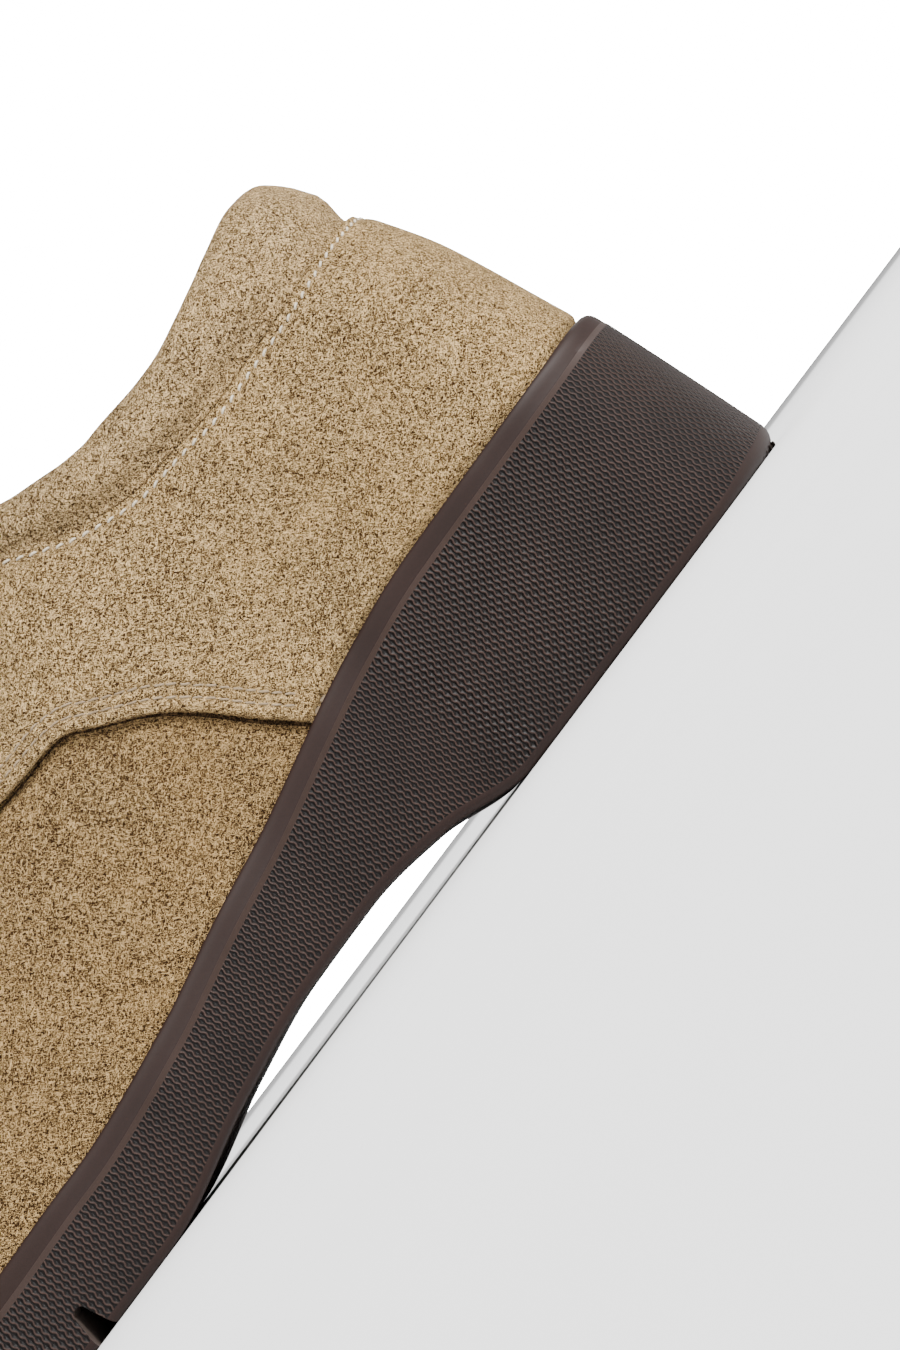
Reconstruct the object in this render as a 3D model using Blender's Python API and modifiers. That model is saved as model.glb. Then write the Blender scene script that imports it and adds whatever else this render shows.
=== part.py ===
"""Low suede derby shoe for the left foot, on a moulded rubber unit sole.

X runs from the heel to the toe, +Y is the outer (little toe) side, +Z is up.
The sole stands on z = 0 and the plan of the sole is centred on the origin.
"""
import math
from collections import namedtuple

import bmesh
import bpy
from mathutils import Vector

# Driving sizes in metres
LENGTH = 0.301
HEEL_WIDTH = 0.072
BALL_WIDTH = 0.103
HEEL_HEIGHT = 0.0405
FOREFOOT_HEIGHT = 0.020
ARCH_RISE = 0.0084
TOE_SPRING = 0.011
BACK_HEIGHT = 0.0705
INSTEP_HEIGHT = 0.082
HEEL_ROUND = 0.035
TOE_ROUND = 0.078
ROUND_POWER = 2.3

# Sole wall, ledge and lip
EDGE_RADIUS = 0.0018
WALL_FLARE = 0.0020
LEDGE_WIDTH = 0.0018
LEDGE_RISE = 0.0011
LIP_THICKNESS = 0.0014
LIP_HEIGHT = 0.0054
CUP_DEPTH = 0.0040
PAD_MARGIN = 0.0045

# Grooves and slot of the underside
GROOVE_WIDTH = 0.0046
GROOVE_DEPTH = 0.0068
GROOVE_TURN = math.radians(-6.5)
SLOT_LENGTH = 0.0225
SLOT_WIDTH = 0.0028
SLOT_BEND = 0.0012
SLOT_DEPTH = 0.0014

# Upper, collar, tongue, insole and laces
CLEARANCE = 0.0003
WALL = 0.0020
QUARTER_STEP = 0.0010
STEP_RISE = 0.0012
COLLAR_THICKNESS = 0.0058
COLLAR_PUFF = 0.0012
TONGUE_THICKNESS = 0.0030
TONGUE_HALF_WIDTH = 0.019
TONGUE_TAPER_SHARE = 0.35
TONGUE_GAP = 0.0014
TONGUE_OVERLAP = 0.008
TONGUE_RISE = 0.012
TONGUE_RISE_STEPS = 3
TONGUE_PULL_SHARE = 0.12
INSOLE_THICKNESS = 0.0035
INSOLE_CLEARANCE = 0.0006
EYELET_PAIRS = 4
EYELET_RADIUS = 0.0022
EYELET_MARGIN = 0.0085
LACE_RADIUS = 0.0014

# Bulge of the profiles, as shares of their height, and of the form across the lacing gap
FULLNESS_SHARE = 0.56
CROWN_SHARE = 0.28
CROWN_SAMPLE_SHARE = 0.97
LEAN_LIMIT_SHARE = 0.2

# Where the wall and lip of the sole bend, as shares of their thickness
WALL_BEND_SHARE = 0.4
LIP_START_SHARE = 0.2
LIP_FALL_SHARE = 0.4
LIP_TOP_SHARE = 0.5

# Roundness of the collar's section: powers of the cosine and sine
COLLAR_SIDE_POWER = 0.5
COLLAR_TOP_POWER = 0.6

# Steps in station and share for the differences that give directions, and limits of searches
PLAN_STEP_SHARE = 0.004
PROFILE_STEP_SHARE = 0.01
NORMAL_STEP_SHARE = 0.006
EDGE_GAP_SHARE = 0.0012
EYELET_SEARCH_SHARE = 0.005
SEARCH_LOW_SHARE = 0.3
SEARCH_STEPS = 24
WELD_SHARE = 0.00003
TINY_SHARE = 1e-6

# Sampling of the lofts
QUARTER_COLUMNS = 20
VAMP_COLUMNS = 18
UPPER_SHARES = (
    0.0, 0.08, 0.16, 0.22, 0.27, 0.305, 0.335, 0.37, 0.41, 0.47, 0.55, 0.65, 0.75, 0.84, 0.92, 1.0
)
COLLAR_SIDES = 12
TONGUE_ROWS = 9
TONGUE_COLUMNS = 10
SLOT_STEPS = 6
BAR_STEPS = 10
EYELET_SIDES = 12
PLAN_SAMPLES = 200

SoleRow = namedtuple("SoleRow", "along centre heel ball arch spring rear fore edge")
# along: share of LENGTH; centre: share of BALL_WIDTH; heel and ball: shares of half the widths;
# arch: share of ARCH_RISE; spring: share of TOE_SPRING; rear and fore: shares of the rand
# heights; edge: share of EDGE_RADIUS
SOLE_ROWS = (
    SoleRow(0.000, 0.000, 0.99, 0.00, 0.00, 0.00, 1.050, 0.00, 2.4),
    SoleRow(0.030, 0.000, 0.99, 0.00, 0.00, 0.00, 1.035, 0.00, 1.9),
    SoleRow(0.070, 0.000, 0.99, 0.00, 0.00, 0.00, 1.015, 0.00, 1.2),
    SoleRow(0.140, -0.006, 1.00, 0.00, 0.00, 0.00, 1.000, 0.00, 1.0),
    SoleRow(0.208, 0.004, 0.92, 0.00, 0.00, 0.00, 0.990, 0.00, 1.0),
    SoleRow(0.257, 0.016, 0.86, 0.00, 0.00, 0.00, 0.955, 0.00, 1.0),
    SoleRow(0.317, 0.044, 0.62, 0.14, 0.66, 0.00, 0.810, 0.12, 1.0),
    SoleRow(0.376, 0.064, 0.40, 0.29, 0.96, 0.00, 0.630, 0.28, 1.0),
    SoleRow(0.436, 0.074, 0.22, 0.48, 0.93, 0.00, 0.410, 0.56, 1.0),
    SoleRow(0.505, 0.074, 0.06, 0.70, 0.60, 0.00, 0.140, 0.89, 1.0),
    SoleRow(0.594, 0.070, 0.00, 0.87, 0.00, 0.00, 0.000, 1.03, 1.0),
    SoleRow(0.663, 0.058, 0.00, 0.96, 0.00, 0.00, 0.000, 1.00, 1.0),
    SoleRow(0.733, 0.032, 0.00, 1.00, 0.00, 0.00, 0.000, 0.99, 1.0),
    SoleRow(0.802, -0.002, 0.00, 0.99, 0.00, 0.06, 0.000, 1.03, 1.0),
    SoleRow(0.901, -0.046, 0.00, 0.93, 0.00, 0.42, 0.000, 1.22, 1.0),
    SoleRow(1.000, -0.074, 0.00, 0.86, 0.00, 1.00, 0.000, 1.55, 1.0),
)

TopRow = namedtuple("TopRow", "along top_along half back instep seam low_lean top_lean ridge pad")
# along: station on the sole; top_along: where its profile ends; half: half breadth there as a
# share of BALL_WIDTH; back and instep: shares of the two top heights; seam: share of the
# profile below the collar; leans in degrees from upright; ridge: centre, share of BALL_WIDTH;
# pad: share of COLLAR_THICKNESS
TOP_ROWS = (
    TopRow(0.000, 0.0715, 0.245, 0.952, 0.000, 0.758, 7.0, 20.0, 0.000, 1.00),
    TopRow(0.040, 0.1010, 0.248, 0.940, 0.000, 0.754, 5.0, 19.0, 0.000, 1.00),
    TopRow(0.089, 0.1340, 0.260, 0.915, 0.000, 0.760, 1.0, 17.0, 0.000, 1.00),
    TopRow(0.148, 0.1700, 0.276, 0.887, 0.000, 0.788, -1.0, 13.0, 0.000, 1.00),
    TopRow(0.208, 0.2150, 0.286, 0.867, 0.000, 0.812, -3.0, 10.0, 0.002, 1.00),
    TopRow(0.267, 0.2614, 0.277, 0.874, 0.000, 0.826, -4.0, 13.0, 0.006, 0.96),
    TopRow(0.322, 0.3129, 0.238, 0.695, 0.218, 0.845, -6.0, 22.0, 0.010, 0.78),
    TopRow(0.366, 0.3584, 0.188, 0.325, 0.645, 0.880, -7.0, 33.0, 0.012, 0.50),
    TopRow(0.401, 0.3900, 0.142, 0.000, 1.000, 0.945, -7.0, 42.0, 0.012, 0.38),
    TopRow(0.416, 0.4040, 0.124, 0.000, 0.992, 1.000, -7.0, 44.0, 0.012, 0.36),
    TopRow(0.455, 0.4416, 0.100, 0.000, 0.920, 1.000, -6.0, 49.0, 0.012, 0.36),
    TopRow(0.515, 0.4990, 0.088, 0.000, 0.820, 1.000, -4.0, 54.0, 0.010, 0.36),
    TopRow(0.562, 0.5455, 0.080, 0.000, 0.750, 1.000, -3.0, 62.0, 0.006, 0.36),
    TopRow(0.577, 0.5590, 0.074, 0.000, 0.732, 1.000, -3.0, 72.0, 0.004, 0.36),
    TopRow(0.590, 0.5660, 0.000, 0.000, 0.724, 1.000, -3.0, 90.0, 0.002, 0.36),
    TopRow(0.673, 0.6376, 0.000, 0.000, 0.640, 1.000, -4.0, 90.0, -0.012, 0.36),
    TopRow(0.762, 0.7168, 0.000, 0.000, 0.560, 1.000, -5.0, 90.0, -0.036, 0.36),
    TopRow(0.861, 0.8050, 0.000, 0.000, 0.500, 1.000, -4.0, 90.0, -0.062, 0.36),
    TopRow(0.950, 0.8750, 0.000, 0.000, 0.462, 1.000, -2.0, 90.0, -0.074, 0.36),
    TopRow(1.000, 0.9050, 0.000, 0.000, 0.444, 1.000, 0.0, 90.0, -0.078, 0.36),
)
FACING_TOP_SHARE = 0.390

EdgeRow = namedtuple("EdgeRow", "up along")
# front edge of the quarters: share of the profile and the station where the edge crosses it
EDGE_ROWS = (
    EdgeRow(0.00, 0.314),
    EdgeRow(0.10, 0.332),
    EdgeRow(0.22, 0.352),
    EdgeRow(0.30, 0.373),
    EdgeRow(0.34, 0.398),
    EdgeRow(0.40, 0.433),
    EdgeRow(0.48, 0.471),
    EdgeRow(0.60, 0.512),
    EdgeRow(0.75, 0.545),
    EdgeRow(0.90, 0.568),
    EdgeRow(1.00, 0.578),
)

GrooveRow = namedtuple("GrooveRow", "along depth")
# flex grooves across the forefoot: station on the centre line and share of GROOVE_DEPTH
GROOVE_ROWS = (
    GrooveRow(0.629, 1.0),
    GrooveRow(0.708, 0.8),
    GrooveRow(0.787, 0.8),
)

SLOT_ALONG_SHARE = 0.362
SLOT_SIDE = 0.0078
SLOT_TURN = math.radians(19.5)
EYELET_FIRST_SHARE = 0.428
EYELET_LAST_SHARE = 0.548
THROAT_SHARE = 0.590
TONGUE_START_SHARE = 0.420
COLLAR_END_SHARE = 0.402

OUTER = 1
INNER = -1


def interpolate(rows, column, along):
    """Monotone cubic through one named column of a table whose first column is the key."""
    keys = [row[0] for row in rows]
    values = [getattr(row, column) for row in rows]
    along = min(max(along, keys[0]), keys[-1])
    count = len(keys)
    steps = [keys[i + 1] - keys[i] for i in range(count - 1)]
    slopes = [(values[i + 1] - values[i]) / steps[i] for i in range(count - 1)]
    tangents = [slopes[0]]
    for i in range(1, count - 1):
        if slopes[i - 1] * slopes[i] <= 0:
            tangents.append(0.0)
        else:
            first = 2 * steps[i] + steps[i - 1]
            second = steps[i] + 2 * steps[i - 1]
            tangents.append((first + second) / (first / slopes[i - 1] + second / slopes[i]))
    tangents.append(slopes[-1])
    i = max(k for k in range(count - 1) if keys[k] <= along)
    share = (along - keys[i]) / steps[i]
    return (
        values[i] * (1 + 2 * share) * (1 - share) ** 2
        + tangents[i] * steps[i] * share * (1 - share) ** 2
        + values[i + 1] * share ** 2 * (3 - 2 * share)
        + tangents[i + 1] * steps[i] * share ** 2 * (share - 1)
    )


def station_of(along):
    """Loft parameter of a share of the length; it is closely spaced at heel and toe."""
    return math.acos(1 - 2 * min(max(along, 0.0), 1.0)) / math.pi


def along_of(station):
    return (1 - math.cos(math.pi * station)) / 2


def rounding(distance, reach):
    """1 beyond the rounded end, falling to 0 at its tip as a superellipse."""
    share = min(max(distance / reach, 0.0), 1.0)
    return (1 - (1 - share) ** ROUND_POWER) ** (1 / ROUND_POWER)


def sole_half_width(along):
    half = interpolate(SOLE_ROWS, "heel", along) * HEEL_WIDTH / 2
    half += interpolate(SOLE_ROWS, "ball", along) * BALL_WIDTH / 2
    half *= rounding(along * LENGTH, HEEL_ROUND)
    return half * rounding((1 - along) * LENGTH, TOE_ROUND)


def outline_point(station, side):
    along = along_of(station)
    centre = interpolate(SOLE_ROWS, "centre", along) * BALL_WIDTH
    return Vector((along * LENGTH, centre + side * sole_half_width(along), 0.0))


def inward_normal(station, side):
    """Plan direction from the outline into the shoe."""
    step = PLAN_STEP_SHARE
    if station < step:
        return Vector((1.0, 0.0, 0.0))
    if station > 1 - step:
        return Vector((-1.0, 0.0, 0.0))
    ahead = outline_point(station + step, side) - outline_point(station - step, side)
    return Vector((side * ahead.y, -side * ahead.x, 0.0)).normalized()


PLAN_SIDES = [
    outline_point(i / PLAN_SAMPLES, side).y
    for i in range(PLAN_SAMPLES + 1)
    for side in (OUTER, INNER)
]
PLAN_SHIFT = Vector((-LENGTH / 2, -(max(PLAN_SIDES) + min(PLAN_SIDES)) / 2, 0.0))


def plan_point(station, side, inset, height):
    """Point of the sole's outline moved inward by inset, at a height above the floor."""
    point = outline_point(station, side) + inward_normal(station, side) * inset + PLAN_SHIFT
    point.z = height
    return point


def bottom_height(along):
    rise = interpolate(SOLE_ROWS, "arch", along) * ARCH_RISE
    return rise + interpolate(SOLE_ROWS, "spring", along) * TOE_SPRING


def rand_height(along):
    """Top of the sole's lip, where the suede comes out."""
    rear = interpolate(SOLE_ROWS, "rear", along) * HEEL_HEIGHT
    return rear + interpolate(SOLE_ROWS, "fore", along) * FOREFOOT_HEIGHT


LIP_INSET = WALL_FLARE + LEDGE_WIDTH
FEATHER_INSET = LIP_INSET + LIP_THICKNESS + CLEARANCE


def new_object(name, mesh, material, smooth=True):
    obj = bpy.data.objects.new(name, mesh)
    PART.objects.link(obj)
    obj.data.materials.append(material)
    if smooth:
        for polygon in obj.data.polygons:
            polygon.use_smooth = True
    return obj


def make_material(name, colour, roughness, metallic=0.0):
    material = bpy.data.materials.new(name)
    material.use_nodes = True
    shader = material.node_tree.nodes["Principled BSDF"]
    shader.inputs["Base Color"].default_value = (*colour, 1.0)
    shader.inputs["Roughness"].default_value = roughness
    shader.inputs["Metallic"].default_value = metallic
    return material


def bridge(bm, first, second, closed=True):
    """Loft one row of quads between two rings of vertices."""
    count = len(first)
    for i in range(count if closed else count - 1):
        k = (i + 1) % count
        corners = []
        for vertex in (first[i], first[k], second[k], second[i]):
            if vertex not in corners:
                corners.append(vertex)
        if len(corners) > 2:
            bm.faces.new(corners)


def ladder(bm, ring):
    """Close a ring of paired stations with one strip of quads across the shoe."""
    count = len(ring)
    for i in range(count // 2):
        corners = []
        for k in (i, i + 1, count - i - 1, count - i):
            vertex = ring[k % count]
            if vertex not in corners:
                corners.append(vertex)
        if len(corners) > 2:
            bm.faces.new(corners)


def finish_mesh(bm, name):
    bmesh.ops.remove_doubles(bm, verts=bm.verts, dist=WELD_SHARE * LENGTH)
    bmesh.ops.recalc_face_normals(bm, faces=bm.faces)
    mesh = bpy.data.meshes.new(name)
    bm.to_mesh(mesh)
    bm.free()
    return mesh


def plan_ring():
    """Stations round the sole: heel tip, outer side, toe tip, inner side.

    They are those of the upper's lower edge, so that the two follow each other exactly.
    """
    columns = [station for station, _ in upper_stations(0.0)]
    columns.pop(QUARTER_COLUMNS)
    ring = [(station, OUTER) for station in columns]
    ring += [(station, INNER) for station in reversed(columns[1:-1])]
    return ring


def sole_levels(along):
    """Inset and height of each loft ring of the sole, from the tread to the floor of the cup."""
    low = bottom_height(along)
    rand = rand_height(along)
    ledge = rand - LIP_HEIGHT
    edge = EDGE_RADIUS * interpolate(SOLE_ROWS, "edge", along)
    corner = edge * (1 - math.cos(math.pi / 4))
    middle = (low + ledge) / 2
    return (
        (PAD_MARGIN, low),
        (edge, low),
        (corner, low + corner),
        (0.0, low + edge),
        (WALL_FLARE * WALL_BEND_SHARE, middle),
        (WALL_FLARE, ledge),
        (LIP_INSET, ledge + LEDGE_RISE),
        (LIP_INSET + LIP_THICKNESS * LIP_START_SHARE, rand - LIP_THICKNESS * LIP_FALL_SHARE),
        (LIP_INSET + LIP_THICKNESS * LIP_TOP_SHARE, rand),
        (LIP_INSET + LIP_THICKNESS, rand),
        (LIP_INSET + LIP_THICKNESS, rand - CUP_DEPTH),
    )


def cutter(name, mesh):
    obj = bpy.data.objects.new(name, mesh)
    CUTTERS.objects.link(obj)
    obj.hide_render = True
    obj.display_type = "WIRE"
    return obj


def cut(target, tool):
    modifier = target.modifiers.new("Cut", "BOOLEAN")
    modifier.operation = "DIFFERENCE"
    modifier.solver = "EXACT"
    modifier.object = tool


def groove_cutter():
    """One mesh with a three-sided prism across the forefoot for each flex groove."""
    bm = bmesh.new()
    for row in GROOVE_ROWS:
        centre = interpolate(SOLE_ROWS, "centre", row.along) * BALL_WIDTH
        depth = GROOVE_DEPTH * row.depth
        below = GROOVE_DEPTH
        slope = GROOVE_WIDTH / 2 / depth
        floor = bottom_height(row.along)
        ends = []
        for reach in (-BALL_WIDTH, BALL_WIDTH):
            ends.append([
                Vector((-slope * (depth + below), reach, floor - below)),
                Vector((slope * (depth + below), reach, floor - below)),
                Vector((0.0, reach, floor + depth)),
            ])
        turned = []
        for triangle in ends:
            corners = []
            for corner in triangle:
                x = corner.x * math.cos(GROOVE_TURN) - corner.y * math.sin(GROOVE_TURN)
                y = corner.x * math.sin(GROOVE_TURN) + corner.y * math.cos(GROOVE_TURN)
                place = Vector((x + row.along * LENGTH, y + centre, corner.z)) + PLAN_SHIFT
                corners.append(bm.verts.new(place))
            turned.append(corners)
        bridge(bm, turned[0], turned[1])
        bm.faces.new(turned[0])
        bm.faces.new(turned[1])
    return cutter("groove_cutter", finish_mesh(bm, "groove_cutter"))


def slot_cutter():
    """A short bent rod that leaves the curved recess in the arch."""
    curve = bpy.data.curves.new("slot_cutter", "CURVE")
    curve.dimensions = "3D"
    curve.bevel_depth = SLOT_WIDTH / 2
    curve.bevel_resolution = 2
    curve.use_fill_caps = True
    spline = curve.splines.new("POLY")
    spline.points.add(SLOT_STEPS)
    for i in range(SLOT_STEPS + 1):
        share = 2 * i / SLOT_STEPS - 1
        run = share * (SLOT_LENGTH - SLOT_WIDTH) / 2
        bend = SLOT_BEND * share ** 2
        x = SLOT_ALONG_SHARE * LENGTH + run * math.cos(SLOT_TURN) - bend * math.sin(SLOT_TURN)
        y = SLOT_SIDE + run * math.sin(SLOT_TURN) + bend * math.cos(SLOT_TURN)
        height = bottom_height(x / LENGTH) + SLOT_DEPTH - SLOT_WIDTH / 2
        place = Vector((x, y, height)) + PLAN_SHIFT
        spline.points[i].co = (*place, 1.0)
    rod = bpy.data.objects.new("slot_rod", curve)
    CUTTERS.objects.link(rod)
    mesh = bpy.data.meshes.new_from_object(rod.evaluated_get(bpy.context.evaluated_depsgraph_get()))
    bpy.data.objects.remove(rod)
    return cutter("slot_cutter", mesh)


def build_sole():
    bm = bmesh.new()
    ring = plan_ring()
    levels = []
    for station, side in ring:
        column = []
        for inset, height in sole_levels(along_of(station)):
            column.append(bm.verts.new(plan_point(station, side, inset, height)))
        levels.append(column)
    rows = [list(row) for row in zip(*levels)]
    for low, high in zip(rows, rows[1:]):
        bridge(bm, low, high)
    ladder(bm, rows[0])
    ladder(bm, rows[-1])
    sole = new_object("sole", finish_mesh(bm, "sole"), RUBBER, smooth=False)
    cut(sole, groove_cutter())
    cut(sole, slot_cutter())
    return sole


def feather(station, side):
    """Where the outside of the upper comes out of the sole."""
    return plan_point(station, side, FEATHER_INSET, rand_height(along_of(station)) + CLEARANCE)


def top_point(station, side):
    """Upper end of the profile: the topline, the lacing edge or the ridge of the vamp."""
    along = along_of(station)
    top_along = interpolate(TOP_ROWS, "top_along", along)
    half = interpolate(TOP_ROWS, "half", along) * BALL_WIDTH
    half *= rounding(along * LENGTH, HEEL_ROUND)
    ridge = interpolate(TOP_ROWS, "ridge", along) * BALL_WIDTH
    height = interpolate(TOP_ROWS, "back", along) * (HEEL_HEIGHT + BACK_HEIGHT)
    instep_top = rand_height(FACING_TOP_SHARE) + INSTEP_HEIGHT
    height += interpolate(TOP_ROWS, "instep", along) * instep_top
    return Vector((top_along * LENGTH, ridge + side * half, height)) + PLAN_SHIFT


def upper_point(station, side, up):
    """Outside of the upper at a station and a share of the way up its profile."""
    station = min(max(station, 0.0), 1.0)
    along = along_of(station)
    start = feather(station, side)
    end = top_point(station, side)
    inward = inward_normal(station, side)
    low = math.radians(interpolate(TOP_ROWS, "low_lean", along))
    top = math.radians(interpolate(TOP_ROWS, "top_lean", along))
    height = end.z - start.z
    reach = Vector((end.x - start.x, end.y - start.y)).length
    step = PROFILE_STEP_SHARE
    behind = top_point(max(station - step, 0.0), side)
    ahead = top_point(min(station + step, 1.0), side)
    slope = (ahead.z - behind.z) / max(ahead.x - behind.x, TINY_SHARE)
    slope *= max(math.sin(top), 0.0) ** 6
    start_way = inward * math.sin(low) + Vector((0, 0, math.cos(low)))
    end_way = inward * math.sin(top) + Vector((0, 0, math.cos(top) + slope * inward.x))
    first = start + start_way * (FULLNESS_SHARE * height)
    last = end - end_way * (FULLNESS_SHARE * (height * math.cos(top) + reach * math.sin(top)))
    rest = 1 - up
    return (
        start * rest ** 3 + first * (3 * rest ** 2 * up)
        + last * (3 * rest * up ** 2) + end * up ** 3
    )


def one_sided_normal(station, side, up):
    step = NORMAL_STEP_SHARE
    forward = upper_point(station + step, side, up) - upper_point(station - step, side, up)
    upward = upper_point(station, side, min(up + step, 1.0))
    upward -= upper_point(station, side, max(up - step, 0.0))
    return (forward.cross(upward) * -side).normalized()


def upper_normal(station, side, up):
    """Outward normal; on the centre line it is the mean of the two sides."""
    normal = one_sided_normal(station, side, up)
    closed_top = interpolate(TOP_ROWS, "half", along_of(station)) < TINY_SHARE
    on_ridge = closed_top and up > 1 - TINY_SHARE
    if on_ridge or station <= 0.0 or station >= 1.0:
        normal = (normal + one_sided_normal(station, -side, up)).normalized()
    return normal


def upper_top(station):
    """Share of the profile where the upper's own wall ends, below the collar or at its edge."""
    return interpolate(TOP_ROWS, "seam", along_of(station))


def upper_stations(up):
    """Stations of one row; the columns gather on the front edge of the quarters."""
    edge = station_of(interpolate(EDGE_ROWS, "along", up))
    quarter = [edge * i / QUARTER_COLUMNS for i in range(QUARTER_COLUMNS + 1)]
    start = edge + EDGE_GAP_SHARE
    vamp = [start + (1 - start) * i / VAMP_COLUMNS for i in range(VAMP_COLUMNS + 1)]
    return [(station, True) for station in quarter] + [(station, False) for station in vamp]


def upper_columns(side):
    """Outer and inner points of one side, listed column by column from the bottom up."""
    rows = []
    for index, share in enumerate(UPPER_SHARES):
        row = []
        for station, on_quarter in upper_stations(share):
            up = share * upper_top(station)
            base = upper_point(station, side, up)
            normal = upper_normal(station, side, up)
            lift = QUARTER_STEP if on_quarter and index > 0 else 0.0
            row.append((base + normal * lift, base - normal * WALL))
        rows.append(row)
    skirt = []
    rim = []
    for station, on_quarter in upper_stations(0.0):
        base = feather(station, side)
        normal = -inward_normal(station, side)
        low = rand_height(along_of(station)) - CUP_DEPTH + CLEARANCE
        foot = Vector((base.x, base.y, low))
        skirt.append((foot, foot - normal * WALL))
        lift = QUARTER_STEP if on_quarter else 0.0
        up = STEP_RISE / (top_point(station, side).z - base.z) / (3 * FULLNESS_SHARE)
        point = upper_point(station, side, up)
        rim.append((point + normal * lift, point - normal * WALL))
    return [skirt, rows[0], rim] + rows[1:]


def build_upper():
    bm = bmesh.new()
    for side in (OUTER, INNER):
        rows = upper_columns(side)
        outer = [[bm.verts.new(pair[0]) for pair in row] for row in rows]
        inner = [[bm.verts.new(pair[1]) for pair in row] for row in rows]
        for layer in (outer, inner):
            for low, high in zip(layer, layer[1:]):
                bridge(bm, low, high, closed=False)
        bridge(bm, outer[0], inner[0], closed=False)
        open_count = 0
        for station, _ in upper_stations(1.0):
            if interpolate(TOP_ROWS, "half", along_of(station)) > TINY_SHARE:
                open_count += 1
        bridge(bm, outer[-1][:open_count + 1], inner[-1][:open_count + 1], closed=False)
    upper = new_object("upper", finish_mesh(bm, "upper"), SUEDE)
    cut(upper, eyelet_cutter())
    return upper


def eyelet_places():
    """Station and share of the profile of each eyelet, one side; the row keeps its edge margin."""
    places = []
    for i in range(EYELET_PAIRS):
        share = i / (EYELET_PAIRS - 1)
        station = station_of(EYELET_FIRST_SHARE + (EYELET_LAST_SHARE - EYELET_FIRST_SHARE) * share)
        up = 1.0
        edge = upper_point(station, OUTER, 1.0)
        while (upper_point(station, OUTER, up) - edge).length < EYELET_MARGIN:
            up -= EYELET_SEARCH_SHARE
        places.append((station, up))
    return places


def eyelet_cutter():
    bm = bmesh.new()
    reach = (WALL + QUARTER_STEP) * 3
    for station, up in eyelet_places():
        for side in (OUTER, INNER):
            centre = upper_point(station, side, up)
            normal = upper_normal(station, side, up)
            turn = normal.to_track_quat("Z", "Y").to_matrix().to_4x4()
            turn.translation = centre
            bmesh.ops.create_cone(
                bm, cap_ends=True, segments=EYELET_SIDES, radius1=EYELET_RADIUS, radius2=EYELET_RADIUS,
                depth=reach, matrix=turn,
            )
    mesh = bpy.data.meshes.new("eyelet_cutter")
    bm.to_mesh(mesh)
    bm.free()
    return cutter("eyelet_cutter", mesh)


def build_collar():
    """Padded band round the topline, above the quarters; its section tapers at both front ends."""
    bm = bmesh.new()
    last = station_of(COLLAR_END_SHARE)
    columns = [station for station, _ in upper_stations(1.0) if station <= last]
    stations = [(station, OUTER) for station in reversed(columns)]
    stations += [(station, INNER) for station in columns[1:]]
    rings = []
    for station, side in stations:
        seam = upper_top(station)
        low = upper_point(station, side, seam)
        top = upper_point(station, side, 1.0)
        normal = upper_normal(station, side, (1 + seam) / 2)
        rise = top - low
        height = rise.length
        rise.normalize()
        centre = low + rise * (height / 2 + CLEARANCE / 2)
        thickness = COLLAR_THICKNESS * interpolate(TOP_ROWS, "pad", along_of(station))
        centre += normal * (QUARTER_STEP - thickness / 2)
        half_height = height / 2 - CLEARANCE / 2
        ring = []
        for k in range(COLLAR_SIDES):
            angle = 2 * math.pi * (k + 0.5) / COLLAR_SIDES
            across = math.copysign(abs(math.cos(angle)) ** COLLAR_SIDE_POWER, math.cos(angle))
            over = math.copysign(abs(math.sin(angle)) ** COLLAR_TOP_POWER, math.sin(angle))
            puff = COLLAR_PUFF * max(0.0, 1 - over ** 2) if across > 0 else 0.0
            place = centre + normal * (across * thickness / 2 + puff)
            ring.append(bm.verts.new(place + rise * (over * half_height)))
        rings.append(ring)
    for first, second in zip(rings, rings[1:]):
        bridge(bm, first, second)
    bm.faces.new(rings[0])
    bm.faces.new(rings[-1])
    return new_object("collar", finish_mesh(bm, "collar"), SUEDE_DARK)


def across_point(station, sideways):
    """Outside form of the shoe across the lacing gap, at a distance from the ridge."""
    side = OUTER if sideways >= 0 else INNER
    edge = upper_point(station, side, 1.0)
    other = upper_point(station, -side, 1.0)
    centre = (edge.y + other.y) / 2
    half = abs(edge.y - centre)
    if abs(sideways) >= half:
        low, high = SEARCH_LOW_SHARE, 1.0
        for _ in range(SEARCH_STEPS):
            middle = (low + high) / 2
            if abs(upper_point(station, side, middle).y - centre) > abs(sideways):
                low = middle
            else:
                high = middle
        return upper_point(station, side, high), upper_normal(station, side, high)
    below = upper_point(station, side, CROWN_SAMPLE_SHARE)
    fall = (edge.z - below.z) / max(abs(below.y - edge.y), TINY_SHARE)
    share = sideways / half
    crown = edge.z + fall * half * CROWN_SHARE * (1 - share ** 2)
    tilt = Vector((0.0, share * fall, 1.0))
    edge_normal = upper_normal(station, side, 1.0)
    tilt.x = edge_normal.x / max(edge_normal.z, LEAN_LIMIT_SHARE)
    return Vector((edge.x, centre + sideways, crown)), tilt.normalized()


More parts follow.
